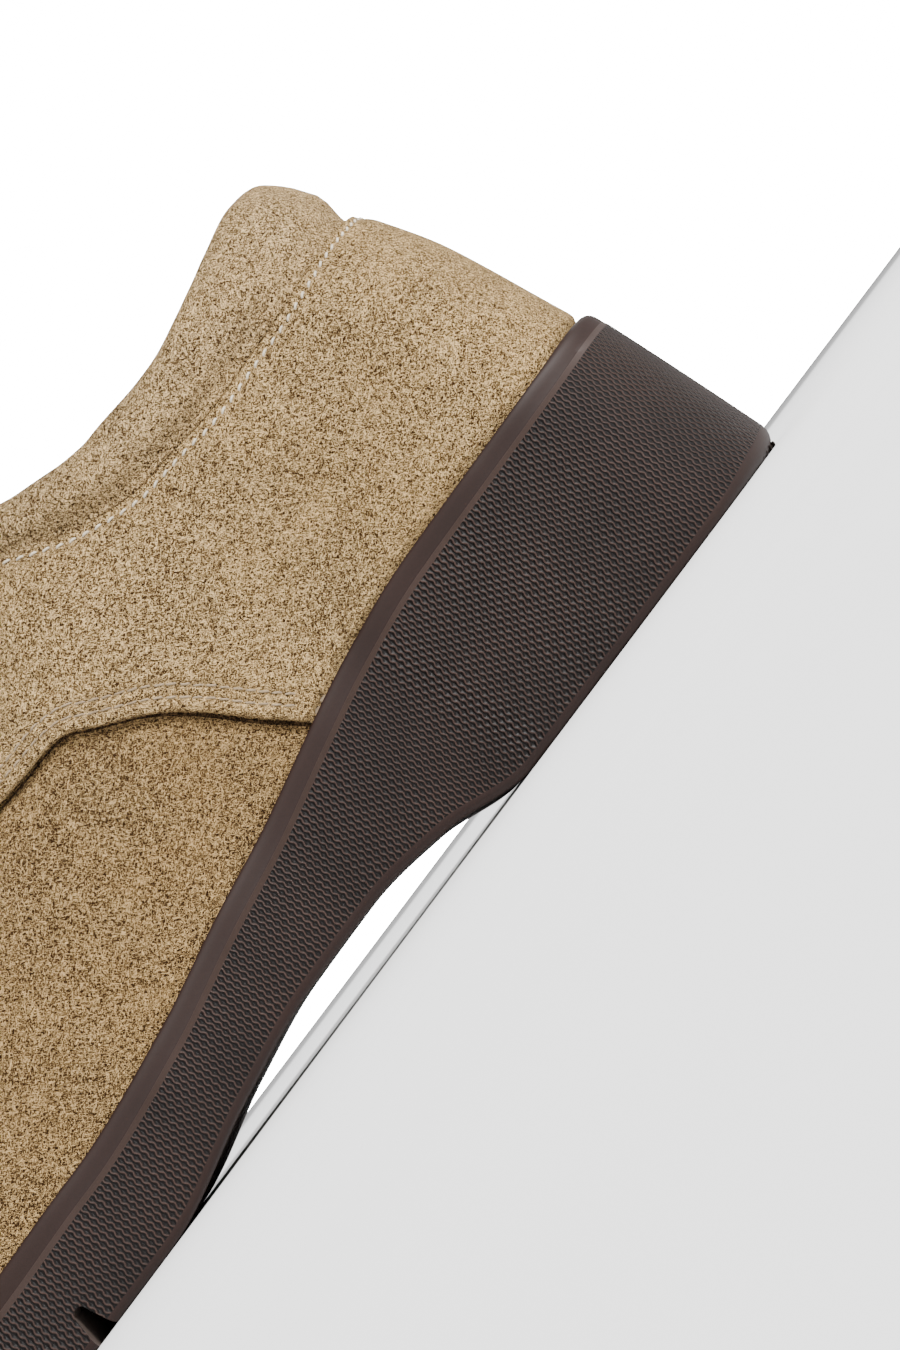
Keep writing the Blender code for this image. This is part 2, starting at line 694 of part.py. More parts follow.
def build_tongue():
    """Padded tongue below the lacing edges, from under the vamp to above the top eyelets."""
    rows = TONGUE_ROWS
    columns = TONGUE_COLUMNS
    bm = bmesh.new()
    grid = []
    end = TONGUE_OVERLAP / LENGTH + THROAT_SHARE
    for i in range(rows + 1):
        along = TONGUE_START_SHARE + (end - TONGUE_START_SHARE) * i / rows
        row = []
        for k in range(columns + 1):
            sideways = (2 * k / columns - 1) * TONGUE_HALF_WIDTH * (1 - TONGUE_TAPER_SHARE * i / rows)
            place, normal = across_point(station_of(along), sideways)
            row.append(place - normal * (WALL + TONGUE_GAP + TONGUE_THICKNESS / 2))
        grid.append(row)
    middle = columns // 2
    way = (grid[0][middle] - grid[1][middle]).normalized()
    for step in range(TONGUE_RISE_STEPS):
        top = []
        for place in grid[0]:
            pulled = place.lerp(grid[0][middle], TONGUE_PULL_SHARE)
            top.append(pulled + way * (TONGUE_RISE / TONGUE_RISE_STEPS))
        grid.insert(0, top)
    verts = [[bm.verts.new(place) for place in row] for row in grid]
    for first, second in zip(verts, verts[1:]):
        bridge(bm, first, second, closed=False)
    tongue = new_object("tongue", finish_mesh(bm, "tongue"), SUEDE)
    solid = tongue.modifiers.new("Thickness", "SOLIDIFY")
    solid.thickness = TONGUE_THICKNESS
    solid.offset = 0.0
    solid.use_even_offset = True
    return tongue


def build_insole():
    """Flat padded insole on the floor of the cup, inside the wall of the upper."""
    bm = bmesh.new()
    ring = plan_ring()
    inset = FEATHER_INSET + WALL + INSOLE_CLEARANCE
    rows = []
    for level in (CLEARANCE, CLEARANCE + INSOLE_THICKNESS):
        row = []
        for station, side in ring:
            height = rand_height(along_of(station)) - CUP_DEPTH + level
            row.append(bm.verts.new(plan_point(station, side, inset, height)))
        rows.append(row)
    bridge(bm, rows[0], rows[1])
    ladder(bm, rows[0])
    ladder(bm, rows[1])
    return new_object("insole", finish_mesh(bm, "insole"), LINING, smooth=False)


def build_laces():
    """One straight bar of round cord for each pair of eyelets."""
    lift = QUARTER_STEP + LACE_RADIUS + CLEARANCE
    for index, (station, up) in enumerate(eyelet_places()):
        reach = upper_point(station, OUTER, up).y - upper_point(station, INNER, up).y
        curve = bpy.data.curves.new("lace_bar", "CURVE")
        curve.dimensions = "3D"
        curve.bevel_depth = LACE_RADIUS
        curve.bevel_resolution = 2
        curve.use_fill_caps = True
        spline = curve.splines.new("POLY")
        spline.points.add(BAR_STEPS)
        for i in range(BAR_STEPS + 1):
            place, normal = across_point(station, (i / BAR_STEPS - 0.5) * reach)
            spline.points[i].co = (*(place + normal * lift), 1.0)
        bar = bpy.data.objects.new(f"lace_bar_{index + 1}", curve)
        bar.data.materials.append(CORD)
        PART.objects.link(bar)


for old in list(bpy.data.objects):
    bpy.data.objects.remove(old, do_unlink=True)

PART = bpy.data.collections.new("suede_derby_shoe")
CUTTERS = bpy.data.collections.new("cutters")
bpy.context.scene.collection.children.link(PART)
bpy.context.scene.collection.children.link(CUTTERS)

RUBBER = make_material("dark_brown_rubber", (0.050, 0.036, 0.031), 0.62)
SUEDE = make_material("tan_suede", (0.40, 0.27, 0.155), 0.95)
SUEDE_DARK = make_material("collar_suede", (0.37, 0.245, 0.14), 0.95)
LINING = make_material("beige_lining", (0.46, 0.36, 0.25), 0.85)
CORD = make_material("taupe_lace", (0.30, 0.20, 0.12), 0.8)

build_sole()
build_upper()
build_collar()
build_tongue()
build_insole()
build_laces()
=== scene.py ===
"""Dressed scene of the low suede derby shoe, built round its CAD frame.

X runs from the heel to the toe, +Y is the outer side and +Z is up, in metres.
"""
import math
from collections import namedtuple
from functools import lru_cache

import bmesh
import bpy
import numpy as np
from mathutils import Matrix, Vector
from mathutils import noise
from mathutils.bvhtree import BVHTree


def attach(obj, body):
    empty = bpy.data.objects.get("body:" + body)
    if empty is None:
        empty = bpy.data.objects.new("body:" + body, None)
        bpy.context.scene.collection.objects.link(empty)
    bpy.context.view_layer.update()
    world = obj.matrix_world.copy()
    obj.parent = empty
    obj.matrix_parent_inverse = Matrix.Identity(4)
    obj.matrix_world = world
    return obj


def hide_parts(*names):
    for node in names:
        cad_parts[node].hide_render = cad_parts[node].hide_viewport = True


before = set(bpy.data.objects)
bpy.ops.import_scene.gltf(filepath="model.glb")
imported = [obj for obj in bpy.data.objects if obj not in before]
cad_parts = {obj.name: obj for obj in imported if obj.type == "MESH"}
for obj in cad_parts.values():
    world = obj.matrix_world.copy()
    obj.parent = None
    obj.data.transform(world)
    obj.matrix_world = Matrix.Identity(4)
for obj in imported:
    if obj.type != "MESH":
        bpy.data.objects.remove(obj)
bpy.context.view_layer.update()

# Driving sizes, the same as in the part's source
LENGTH = 0.301
HEEL_WIDTH = 0.072
BALL_WIDTH = 0.103
HEEL_HEIGHT = 0.0405
FOREFOOT_HEIGHT = 0.020
ARCH_RISE = 0.0084
TOE_SPRING = 0.011
BACK_HEIGHT = 0.0705
INSTEP_HEIGHT = 0.082
HEEL_ROUND = 0.035
TOE_ROUND = 0.078
ROUND_POWER = 2.3

EDGE_RADIUS = 0.0018
WALL_FLARE = 0.0020
LEDGE_WIDTH = 0.0018
LEDGE_RISE = 0.0011
LIP_THICKNESS = 0.0014
LIP_HEIGHT = 0.0047
CUP_DEPTH = 0.0040

GROOVE_WIDTH = 0.0046
GROOVE_DEPTH = 0.0068
GROOVE_TURN = math.radians(-6.5)
SLOT_LENGTH = 0.0225
SLOT_WIDTH = 0.0028
SLOT_BEND = 0.0012
SLOT_DEPTH = 0.0014

CLEARANCE = 0.0003
WALL = 0.0020
QUARTER_STEP = 0.0010
STEP_RISE = 0.0012
COLLAR_THICKNESS = 0.0058
TONGUE_THICKNESS = 0.0030
TONGUE_HALF_WIDTH = 0.019
TONGUE_TAPER = 0.35
TONGUE_GAP = 0.0014
TONGUE_OVERLAP = 0.008
TONGUE_RISE = 0.012
TONGUE_PULL = 0.32
INSOLE_THICKNESS = 0.0035
INSOLE_CLEARANCE = 0.0006
EYELET_PAIRS = 4
EYELET_RADIUS = 0.0022
EYELET_MARGIN = 0.0085
LACE_RADIUS = 0.0014
FULLNESS = 0.56
CROWN = 0.28

OUTER = 1
INNER = -1

SoleRow = namedtuple("SoleRow", "along centre heel ball arch spring rear fore edge")
SOLE_ROWS = (
    SoleRow(0.000, 0.000, 0.99, 0.00, 0.00, 0.00, 1.050, 0.00, 2.4),
    SoleRow(0.030, 0.000, 0.99, 0.00, 0.00, 0.00, 1.035, 0.00, 1.9),
    SoleRow(0.070, 0.000, 0.99, 0.00, 0.00, 0.00, 1.015, 0.00, 1.2),
    SoleRow(0.140, -0.006, 1.00, 0.00, 0.00, 0.00, 1.000, 0.00, 1.0),
    SoleRow(0.208, 0.004, 0.92, 0.00, 0.00, 0.00, 0.990, 0.00, 1.0),
    SoleRow(0.257, 0.016, 0.86, 0.00, 0.00, 0.00, 0.955, 0.00, 1.0),
    SoleRow(0.317, 0.044, 0.62, 0.14, 0.66, 0.00, 0.810, 0.12, 1.0),
    SoleRow(0.376, 0.064, 0.40, 0.29, 0.96, 0.00, 0.630, 0.28, 1.0),
    SoleRow(0.436, 0.074, 0.22, 0.48, 0.93, 0.00, 0.410, 0.56, 1.0),
    SoleRow(0.505, 0.074, 0.06, 0.70, 0.60, 0.00, 0.140, 0.89, 1.0),
    SoleRow(0.594, 0.070, 0.00, 0.87, 0.00, 0.00, 0.000, 1.03, 1.0),
    SoleRow(0.663, 0.058, 0.00, 0.96, 0.00, 0.00, 0.000, 1.00, 1.0),
    SoleRow(0.733, 0.032, 0.00, 1.00, 0.00, 0.00, 0.000, 0.99, 1.0),
    SoleRow(0.802, -0.002, 0.00, 0.99, 0.00, 0.06, 0.000, 1.03, 1.0),
    SoleRow(0.901, -0.046, 0.00, 0.93, 0.00, 0.42, 0.000, 1.22, 1.0),
    SoleRow(1.000, -0.074, 0.00, 0.86, 0.00, 1.00, 0.000, 1.55, 1.0),
)

TopRow = namedtuple("TopRow", "along top_along half back instep seam low_lean top_lean ridge pad")
TOP_ROWS = (
    TopRow(0.000, 0.0715, 0.245, 0.952, 0.000, 0.758, 7.0, 20.0, 0.000, 1.00),
    TopRow(0.040, 0.1010, 0.248, 0.940, 0.000, 0.754, 5.0, 19.0, 0.000, 1.00),
    TopRow(0.089, 0.1340, 0.260, 0.915, 0.000, 0.760, 1.0, 17.0, 0.000, 1.00),
    TopRow(0.148, 0.1700, 0.276, 0.887, 0.000, 0.788, -1.0, 13.0, 0.000, 1.00),
    TopRow(0.208, 0.2150, 0.286, 0.867, 0.000, 0.812, -3.0, 10.0, 0.002, 1.00),
    TopRow(0.267, 0.2614, 0.277, 0.874, 0.000, 0.826, -4.0, 13.0, 0.006, 0.96),
    TopRow(0.322, 0.3129, 0.238, 0.695, 0.218, 0.845, -6.0, 22.0, 0.010, 0.78),
    TopRow(0.366, 0.3584, 0.188, 0.325, 0.645, 0.880, -7.0, 33.0, 0.012, 0.50),
    TopRow(0.401, 0.3900, 0.142, 0.000, 1.000, 0.945, -7.0, 42.0, 0.012, 0.38),
    TopRow(0.416, 0.4040, 0.124, 0.000, 0.992, 1.000, -7.0, 44.0, 0.012, 0.36),
    TopRow(0.455, 0.4416, 0.100, 0.000, 0.920, 1.000, -6.0, 49.0, 0.012, 0.36),
    TopRow(0.515, 0.4990, 0.088, 0.000, 0.820, 1.000, -4.0, 54.0, 0.010, 0.36),
    TopRow(0.562, 0.5455, 0.080, 0.000, 0.750, 1.000, -3.0, 62.0, 0.006, 0.36),
    TopRow(0.577, 0.5590, 0.074, 0.000, 0.732, 1.000, -3.0, 72.0, 0.004, 0.36),
    TopRow(0.590, 0.5660, 0.000, 0.000, 0.724, 1.000, -3.0, 90.0, 0.002, 0.36),
    TopRow(0.673, 0.6376, 0.000, 0.000, 0.640, 1.000, -4.0, 90.0, -0.012, 0.36),
    TopRow(0.762, 0.7168, 0.000, 0.000, 0.560, 1.000, -5.0, 90.0, -0.036, 0.36),
    TopRow(0.861, 0.8050, 0.000, 0.000, 0.500, 1.000, -4.0, 90.0, -0.062, 0.36),
    TopRow(0.950, 0.8750, 0.000, 0.000, 0.462, 1.000, -2.0, 90.0, -0.074, 0.36),
    TopRow(1.000, 0.9050, 0.000, 0.000, 0.444, 1.000, 0.0, 90.0, -0.078, 0.36),
)
FACING_TOP = 0.390

EdgeRow = namedtuple("EdgeRow", "up along")
EDGE_ROWS = (
    EdgeRow(0.00, 0.314),
    EdgeRow(0.10, 0.332),
    EdgeRow(0.22, 0.352),
    EdgeRow(0.30, 0.373),
    EdgeRow(0.34, 0.398),
    EdgeRow(0.40, 0.433),
    EdgeRow(0.48, 0.471),
    EdgeRow(0.60, 0.512),
    EdgeRow(0.75, 0.545),
    EdgeRow(0.90, 0.568),
    EdgeRow(1.00, 0.578),
)

GrooveRow = namedtuple("GrooveRow", "along depth")
GROOVE_ROWS = (
    GrooveRow(0.629, 1.0),
    GrooveRow(0.708, 0.8),
    GrooveRow(0.787, 0.8),
)

SLOT_ALONG = 0.362
SLOT_SIDE = 0.0078
SLOT_TURN = math.radians(19.5)
EYELET_FIRST = 0.428
EYELET_LAST = 0.548
THROAT_ALONG = 0.590
TONGUE_START = 0.420
COLLAR_END = 0.402


# Surface functions, as in the part's source, on arrays of any shape
@lru_cache(maxsize=None)
def table(rows, column):
    """Keys, values and monotone tangents of one named column."""
    keys = np.array([row[0] for row in rows])
    values = np.array([getattr(row, column) for row in rows])
    steps = np.diff(keys)
    slopes = np.diff(values) / steps
    tangents = np.empty_like(values)
    tangents[0] = slopes[0]
    tangents[-1] = slopes[-1]
    for i in range(1, len(keys) - 1):
        if slopes[i - 1] * slopes[i] <= 0:
            tangents[i] = 0.0
        else:
            first = 2 * steps[i] + steps[i - 1]
            second = steps[i] + 2 * steps[i - 1]
            tangents[i] = (first + second) / (first / slopes[i - 1] + second / slopes[i])
    return keys, values, tangents


def interpolate(rows, column, along):
    keys, values, tangents = table(rows, column)
    along = np.clip(np.asarray(along, float), keys[0], keys[-1])
    i = np.clip(np.searchsorted(keys, along, side="right") - 1, 0, len(keys) - 2)
    step = keys[i + 1] - keys[i]
    share = (along - keys[i]) / step
    return (
        values[i] * (1 + 2 * share) * (1 - share) ** 2
        + tangents[i] * step * share * (1 - share) ** 2
        + values[i + 1] * share ** 2 * (3 - 2 * share)
        + tangents[i + 1] * step * share ** 2 * (share - 1)
    )


def station_of(along):
    return np.arccos(1 - 2 * np.clip(along, 0.0, 1.0)) / math.pi


def along_of(station):
    return (1 - np.cos(math.pi * np.asarray(station, float))) / 2


def rounding(distance, reach):
    share = np.clip(distance / reach, 0.0, 1.0)
    return (1 - (1 - share) ** ROUND_POWER) ** (1 / ROUND_POWER)


def joined(*columns):
    return np.stack(np.broadcast_arrays(*columns), axis=-1)


def unit(vectors):
    return vectors / np.maximum(np.linalg.norm(vectors, axis=-1, keepdims=True), 1e-12)


def sole_half_width(along):
    half = interpolate(SOLE_ROWS, "heel", along) * HEEL_WIDTH / 2
    half = half + interpolate(SOLE_ROWS, "ball", along) * BALL_WIDTH / 2
    half = half * rounding(along * LENGTH, HEEL_ROUND)
    return half * rounding((1 - along) * LENGTH, TOE_ROUND)


def outline_point(station, side):
    along = along_of(np.clip(station, 0.0, 1.0))
    centre = interpolate(SOLE_ROWS, "centre", along) * BALL_WIDTH
    return joined(along * LENGTH, centre + side * sole_half_width(along), 0.0)


def inward_normal(station, side):
    small = 0.004
    station = np.asarray(station, float)
    ahead = outline_point(station + small, side) - outline_point(station - small, side)
    normal = unit(joined(side * ahead[..., 1], -side * ahead[..., 0], 0.0))
    normal = np.where((station < small)[..., None], np.array([1.0, 0.0, 0.0]), normal)
    return np.where((station > 1 - small)[..., None], np.array([-1.0, 0.0, 0.0]), normal)


PLAN_SIDES = [float(outline_point(i / 200, side)[1]) for i in range(201) for side in (OUTER, INNER)]
PLAN_SHIFT = np.array([-LENGTH / 2, -(max(PLAN_SIDES) + min(PLAN_SIDES)) / 2, 0.0])


def plan_point(station, side, inset, height):
    inset = np.asarray(inset, float)
    point = outline_point(station, side) + inward_normal(station, side) * inset[..., None]
    point = point + PLAN_SHIFT
    return joined(point[..., 0], point[..., 1], height)


def bottom_height(along):
    rise = interpolate(SOLE_ROWS, "arch", along) * ARCH_RISE
    return rise + interpolate(SOLE_ROWS, "spring", along) * TOE_SPRING


def rand_height(along):
    rear = interpolate(SOLE_ROWS, "rear", along) * HEEL_HEIGHT
    return rear + interpolate(SOLE_ROWS, "fore", along) * FOREFOOT_HEIGHT


LIP_INSET = WALL_FLARE + LEDGE_WIDTH
FEATHER_INSET = LIP_INSET + LIP_THICKNESS + CLEARANCE


def feather(station, side):
    return plan_point(station, side, FEATHER_INSET, rand_height(along_of(station)) + CLEARANCE)


def top_point(station, side):
    along = along_of(station)
    top_along = interpolate(TOP_ROWS, "top_along", along)
    half = interpolate(TOP_ROWS, "half", along) * BALL_WIDTH
    half = half * rounding(along * LENGTH, HEEL_ROUND)
    ridge = interpolate(TOP_ROWS, "ridge", along) * BALL_WIDTH
    height = interpolate(TOP_ROWS, "back", along) * (HEEL_HEIGHT + BACK_HEIGHT)
    instep_top = rand_height(FACING_TOP) + INSTEP_HEIGHT
    height = height + interpolate(TOP_ROWS, "instep", along) * instep_top
    return joined(top_along * LENGTH, ridge + side * half, height) + PLAN_SHIFT


def upper_point(station, side, up):
    station, up = np.broadcast_arrays(np.clip(station, 0.0, 1.0), np.asarray(up, float))
    along = along_of(station)
    start = feather(station, side)
    end = top_point(station, side)
    inward = inward_normal(station, side)
    low = np.radians(interpolate(TOP_ROWS, "low_lean", along))
    top = np.radians(interpolate(TOP_ROWS, "top_lean", along))
    height = end[..., 2] - start[..., 2]
    reach = np.hypot(end[..., 0] - start[..., 0], end[..., 1] - start[..., 1])
    small = 0.01
    behind = top_point(np.clip(station - small, 0.0, 1.0), side)
    ahead = top_point(np.clip(station + small, 0.0, 1.0), side)
    slope = (ahead[..., 2] - behind[..., 2]) / np.maximum(ahead[..., 0] - behind[..., 0], 1e-6)
    slope = slope * np.maximum(np.sin(top), 0.0) ** 6
    upright = np.array([0.0, 0.0, 1.0])
    start_way = inward * np.sin(low)[..., None] + upright * np.cos(low)[..., None]
    rise = np.cos(top) + slope * inward[..., 0]
    end_way = inward * np.sin(top)[..., None] + upright * rise[..., None]
    first = start + start_way * (FULLNESS * height)[..., None]
    pull = FULLNESS * (height * np.cos(top) + reach * np.sin(top))
    last = end - end_way * pull[..., None]
    up = up[..., None]
    rest = 1 - up
    return (
        start * rest ** 3 + first * (3 * rest ** 2 * up)
        + last * (3 * rest * up ** 2) + end * up ** 3
    )


def one_sided_normal(station, side, up):
    small = 0.006
    forward = upper_point(station + small, side, up) - upper_point(station - small, side, up)
    upward = upper_point(station, side, np.minimum(up + small, 1.0))
    upward = upward - upper_point(station, side, np.maximum(up - small, 0.0))
    return unit(np.cross(forward, upward) * -side)


def upper_normal(station, side, up):
    station, up = np.broadcast_arrays(np.asarray(station, float), np.asarray(up, float))
    normal = one_sided_normal(station, side, up)
    other = one_sided_normal(station, -side, up)
    on_ridge = (up > 0.999) & (interpolate(TOP_ROWS, "half", along_of(station)) < 1e-6)
    shared = on_ridge | (station <= 0.0) | (station >= 1.0)
    return np.where(shared[..., None], unit(normal + other), normal)


def upper_top(station):
    return interpolate(TOP_ROWS, "seam", along_of(station))


# Mesh helpers
WELD = 0.00002
FINE_WELD = 1e-7
SUEDE_SLOT = 0
LINING_SLOT = 1
PAINTED_SHADE_SLOT = 2
LOOP_STEPS = 7
LOOP_SIDES = 8


def grid_faces(rows, columns, start=0, flip=False, closed=False):
    """Quads of a grid of points listed row by row."""
    faces = []
    for r in range(rows - 1):
        for c in range(columns if closed else columns - 1):
            k = (c + 1) % columns
            face = [
                start + r * columns + c, start + r * columns + k,
                start + (r + 1) * columns + k, start + (r + 1) * columns + c,
            ]
            faces.append(face[::-1] if flip else face)
    return faces


def joined_parts(parts):
    """One list of points and one of faces from several (points, faces) pairs."""
    points, faces = [], []
    for part_points, part_faces in parts:
        start = len(points)
        points += list(part_points)
        faces += [[start + k for k in face] for face in part_faces]
    return points, faces


def extruded(corners, first, last):
    """Points and faces of a straight prism between two shifts of its corners."""
    count = len(corners)
    points = [corner + first for corner in corners] + [corner + last for corner in corners]
    faces = grid_faces(2, count, closed=True)
    return points, faces + [list(range(count))[::-1], list(range(count, 2 * count))]


def sheet(upper, lower, rims, top_points=None):
    """Points, faces and slots of two stacked grids, closed along the rims in the given slots.

    The top rim can be limited to its first points.
    """
    rows, columns = upper.shape[:2]
    count = rows * columns
    faces = grid_faces(rows, columns) + grid_faces(rows, columns, count, flip=True)
    slots = [SUEDE_SLOT] * (len(faces) // 2) + [LINING_SLOT] * (len(faces) // 2)
    lines = {
        "low": range(columns),
        "top": range(count - columns, count - columns + (top_points or columns)),
        "first": range(0, count, columns),
        "last": range(columns - 1, count, columns),
    }
    for name, slot in rims.items():
        for a, b in zip(lines[name], lines[name][1:]):
            faces.append([a, b, b + count, a + count])
            slots.append(slot)
    return np.concatenate([upper.reshape(-1, 3), lower.reshape(-1, 3)]), faces, slots


def linked(name, data):
    made = bpy.data.objects.new(name, data)
    bpy.context.scene.collection.objects.link(made)
    return made


def mesh_object(name, points, faces, materials=(), slots=None, weld=0.0):
    """A linked mesh object with its normals made consistent."""
    mesh = bpy.data.meshes.new(name)
    mesh.from_pydata([tuple(p) for p in points], [], faces)
    for material in materials:
        mesh.materials.append(material)
    if slots is not None:
        mesh.polygons.foreach_set("material_index", slots)
    bm = bmesh.new()
    bm.from_mesh(mesh)
    if weld:
        bmesh.ops.remove_doubles(bm, verts=bm.verts, dist=weld)
    bmesh.ops.recalc_face_normals(bm, faces=bm.faces)
    bm.to_mesh(mesh)
    bm.free()
    return linked(name, mesh)


def new_piece(name, points, faces, materials, slots=None, weld=WELD, smooth=True):
    """A shown piece that rides on the shoe."""
    piece = mesh_object(name, points, faces, materials, slots, weld)
    piece.data.polygons.foreach_set("use_smooth", [smooth] * len(piece.data.polygons))
    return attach(piece, "root")


def bump_at(values, centre, width):
    return np.exp(-((values - centre) / width) ** 2)


def smooth_step(values, low, high):
    share = np.clip((values - low) / (high - low), 0.0, 1.0)
    return share * share * (3 - 2 * share)


def soft_noise(points, size, seed):
    """Smooth noise about zero with features of a size in metres, the same on each run."""
    flat = points.reshape(-1, 3)
    shift = Vector((seed * 7.31, seed * 3.17, seed * 5.53))
    values = [noise.noise(Vector(p) / size + shift) for p in flat]
    return np.array(values).reshape(points.shape[:-1])


def layered_noise(points, layers):
    """Sum of soft noises, each (height, size, seed)."""
    return sum(height * soft_noise(points, size, seed) for height, size, seed in layers)


def distance_to_line(points, line):
    """Distance of each point to the nearest of a fine polyline's points."""
    flat = points.reshape(-1, 3)
    best = np.full(len(flat), 1e9)
    for place in line:
        best = np.minimum(best, ((flat - place) ** 2).sum(axis=1))
    return np.sqrt(best).reshape(points.shape[:-1])


def spaced(line, pitch):
    """Points a fixed distance apart along a polyline, with their directions."""
    line = np.asarray(line)
    lengths = np.concatenate([[0.0], np.cumsum(np.linalg.norm(np.diff(line, axis=0), axis=1))])
    places = np.arange(pitch / 2, lengths[-1], pitch)
    points = np.stack([np.interp(places, lengths, line[:, k]) for k in range(3)], axis=1)
    ahead = np.stack([np.interp(places + 1e-4, lengths, line[:, k]) for k in range(3)], axis=1)
    return points, unit(ahead - points + 1e-12)


def tube(line, radius, sides, cap=False, relief=None):
    """Points and faces of a round tube along a line, its frame carried without twist."""
    line = np.asarray(line)
    ways = unit(np.gradient(line, axis=0))
    first = np.cross(ways[0], [0.0, 0.0, 1.0])
    if np.linalg.norm(first) < 0.1:
        first = np.cross(ways[0], [0.0, 1.0, 0.0])
    frame_way = unit(first)
    points = []
    for index, (place, way) in enumerate(zip(line, ways)):
        frame_way = unit(frame_way - way * (frame_way @ way))
        other = np.cross(way, frame_way)
        for k in range(sides):
            angle = 2 * math.pi * k / sides
            reach = radius if relief is None else radius * relief(index, angle)
            points.append(place + (frame_way * math.cos(angle) + other * math.sin(angle)) * reach)
    faces = grid_faces(len(line), sides, closed=True)
    if cap:
        last = (len(line) - 1) * sides
        faces += [list(range(sides))[::-1], [last + k for k in range(sides)]]
    return points, faces


def smooth_line(places, gap):
    """Even points along a smooth curve through the places."""
    places = np.asarray(places)
    ends = np.concatenate([places[:1] * 2 - places[1:2], places, places[-1:] * 2 - places[-2:-1]])
    curve = []
    for a, b, c, d in zip(ends, ends[1:], ends[2:], ends[3:]):
        for t in np.linspace(0.0, 1.0, 12, endpoint=False):
            curve.append(0.5 * (
                2 * b + (c - a) * t + (2 * a - 5 * b + 4 * c - d) * t ** 2
                + (3 * b - a - 3 * c + d) * t ** 3
            ))
    curve.append(places[-1])
    curve = np.array(curve)
    lengths = np.concatenate([[0.0], np.cumsum(np.linalg.norm(np.diff(curve, axis=0), axis=1))])
    count = int(lengths[-1] / gap) + 2
    stops = np.linspace(0.0, lengths[-1], count)
    return np.stack([np.interp(stops, lengths, curve[:, k]) for k in range(3)], axis=1)


def surface_tree(piece):
    mesh = piece.data
    return BVHTree.FromPolygons(
        [v.co for v in mesh.vertices], [tuple(p.vertices) for p in mesh.polygons]
    )


def stitch_line(line, tree, pitch, length, radius, turn=0.0):
    """One row of short thread loops that dip into the surface at both ends."""
    loops = []
    places, ways = spaced(line, pitch)
    for place, way in zip(places, ways):
        hit, normal, _, _ = tree.find_nearest(Vector(place))
        hit, normal = np.array(hit), np.array(normal)
        way = unit(way - normal * (way @ normal))
        beside = np.cross(normal, way)
        way = way * math.cos(turn) + beside * math.sin(turn)
        bend = []
        for t in np.linspace(-1.0, 1.0, LOOP_STEPS):
            bend.append(hit + way * (t * length / 2) + normal * radius * (0.75 - 1.7 * t ** 4))
        loops.append(tube(bend, radius, LOOP_SIDES, cap=True))
    return joined_parts(loops)


# Node helpers
def node(tree, kind, values=None, **settings):
    made = tree.nodes.new(kind)
    for key, value in settings.items():
        setattr(made, key, value)
    for key, value in (values or {}).items():
        if isinstance(value, bpy.types.NodeSocket):
            tree.links.new(value, made.inputs[key])
        else:
            made.inputs[key].default_value = value
    return made


def calc(tree, operation, first, second=None, third=None, clamp=False):
    values = {0: first}
    if second is not None:
        values[1] = second
    if third is not None:
        values[2] = third
    return node(tree, "ShaderNodeMath", values, operation=operation, use_clamp=clamp).outputs[0]


def ramp(tree, source, stops):
    """Colour ramp from (position, colour) pairs."""
    made = node(tree, "ShaderNodeValToRGB", {"Fac": source})
    elements = made.color_ramp.elements
    while len(elements) < len(stops):
        elements.new(0.5)
    for element, (position, colour) in zip(elements, stops):
        element.position = position
        element.color = (*colour, 1.0)
    return made.outputs["Color"]


def mix(tree, factor, first, second, blend="MIX"):
    made = node(tree, "ShaderNodeMix", data_type="RGBA", blend_type=blend)
    for key, value in ((0, factor), (6, first), (7, second)):
        if isinstance(value, bpy.types.NodeSocket):
            tree.links.new(value, made.inputs[key])
        else:
            made.inputs[key].default_value = value if key == 0 else (*value, 1.0)
    return made.outputs[2]


def noise_of(tree, coordinates, scale, detail=2.0, roughness=0.5, distortion=0.0):
    return node(
        tree, "ShaderNodeTexNoise",
        {"Vector": coordinates, "Scale": scale, "Detail": detail, "Roughness": roughness,
         "Distortion": distortion},
    ).outputs[0]


def new_material(name, roughness, specular=0.5):
    material = bpy.data.materials.new(name)
    material.use_nodes = True
    tree = material.node_tree
    shader = tree.nodes["Principled BSDF"]
    shader.inputs["Roughness"].default_value = roughness
    shader.inputs["Specular IOR Level"].default_value = specular
    place = node(tree, "ShaderNodeTexCoord").outputs["Object"]
    return material, tree, shader, place


def bumped(tree, shader, layers):
    """Chain of bumps, each (height, strength, distance), onto the shader."""
    normal = None
    for height, strength, distance in layers:
        values = {"Height": height, "Strength": strength, "Distance": distance}
        if normal is not None:
            values["Normal"] = normal
        normal = node(tree, "ShaderNodeBump", values).outputs[0]
    tree.links.new(normal, shader.inputs["Normal"])


# noise scales are features per metre, the swing is in radians and the rest is in metres
PATCH_SCALE = 62.0
STROKE_SCALE = 210.0
FINE_SCALE = 3100.0
FIBRE_WIDTH = 0.00027
FIBRE_LENGTH = 0.00085
CLOUD_SCALE = 70.0
SPECK_SCALE = 5200.0
WEAR_SCALE = 900.0
WOBBLE_SCALE = 220.0
GRAIN_PITCH = 0.00096
GRAIN_RISE = 0.00172
GRAIN_SWING = 1.25


def combed(tree, place, turn, across, along):
    """Noise drawn out along one direction of the shoe's side, like nap brushed that way."""
    laid = node(
        tree, "ShaderNodeMapping",
        {"Vector": place, "Rotation": (0.3, turn, 0.2), "Scale": (along, across, across)},
        vector_type="TEXTURE",
    ).outputs[0]
    return noise_of(tree, laid, 1.0, 2.0, 0.6, 1.6)


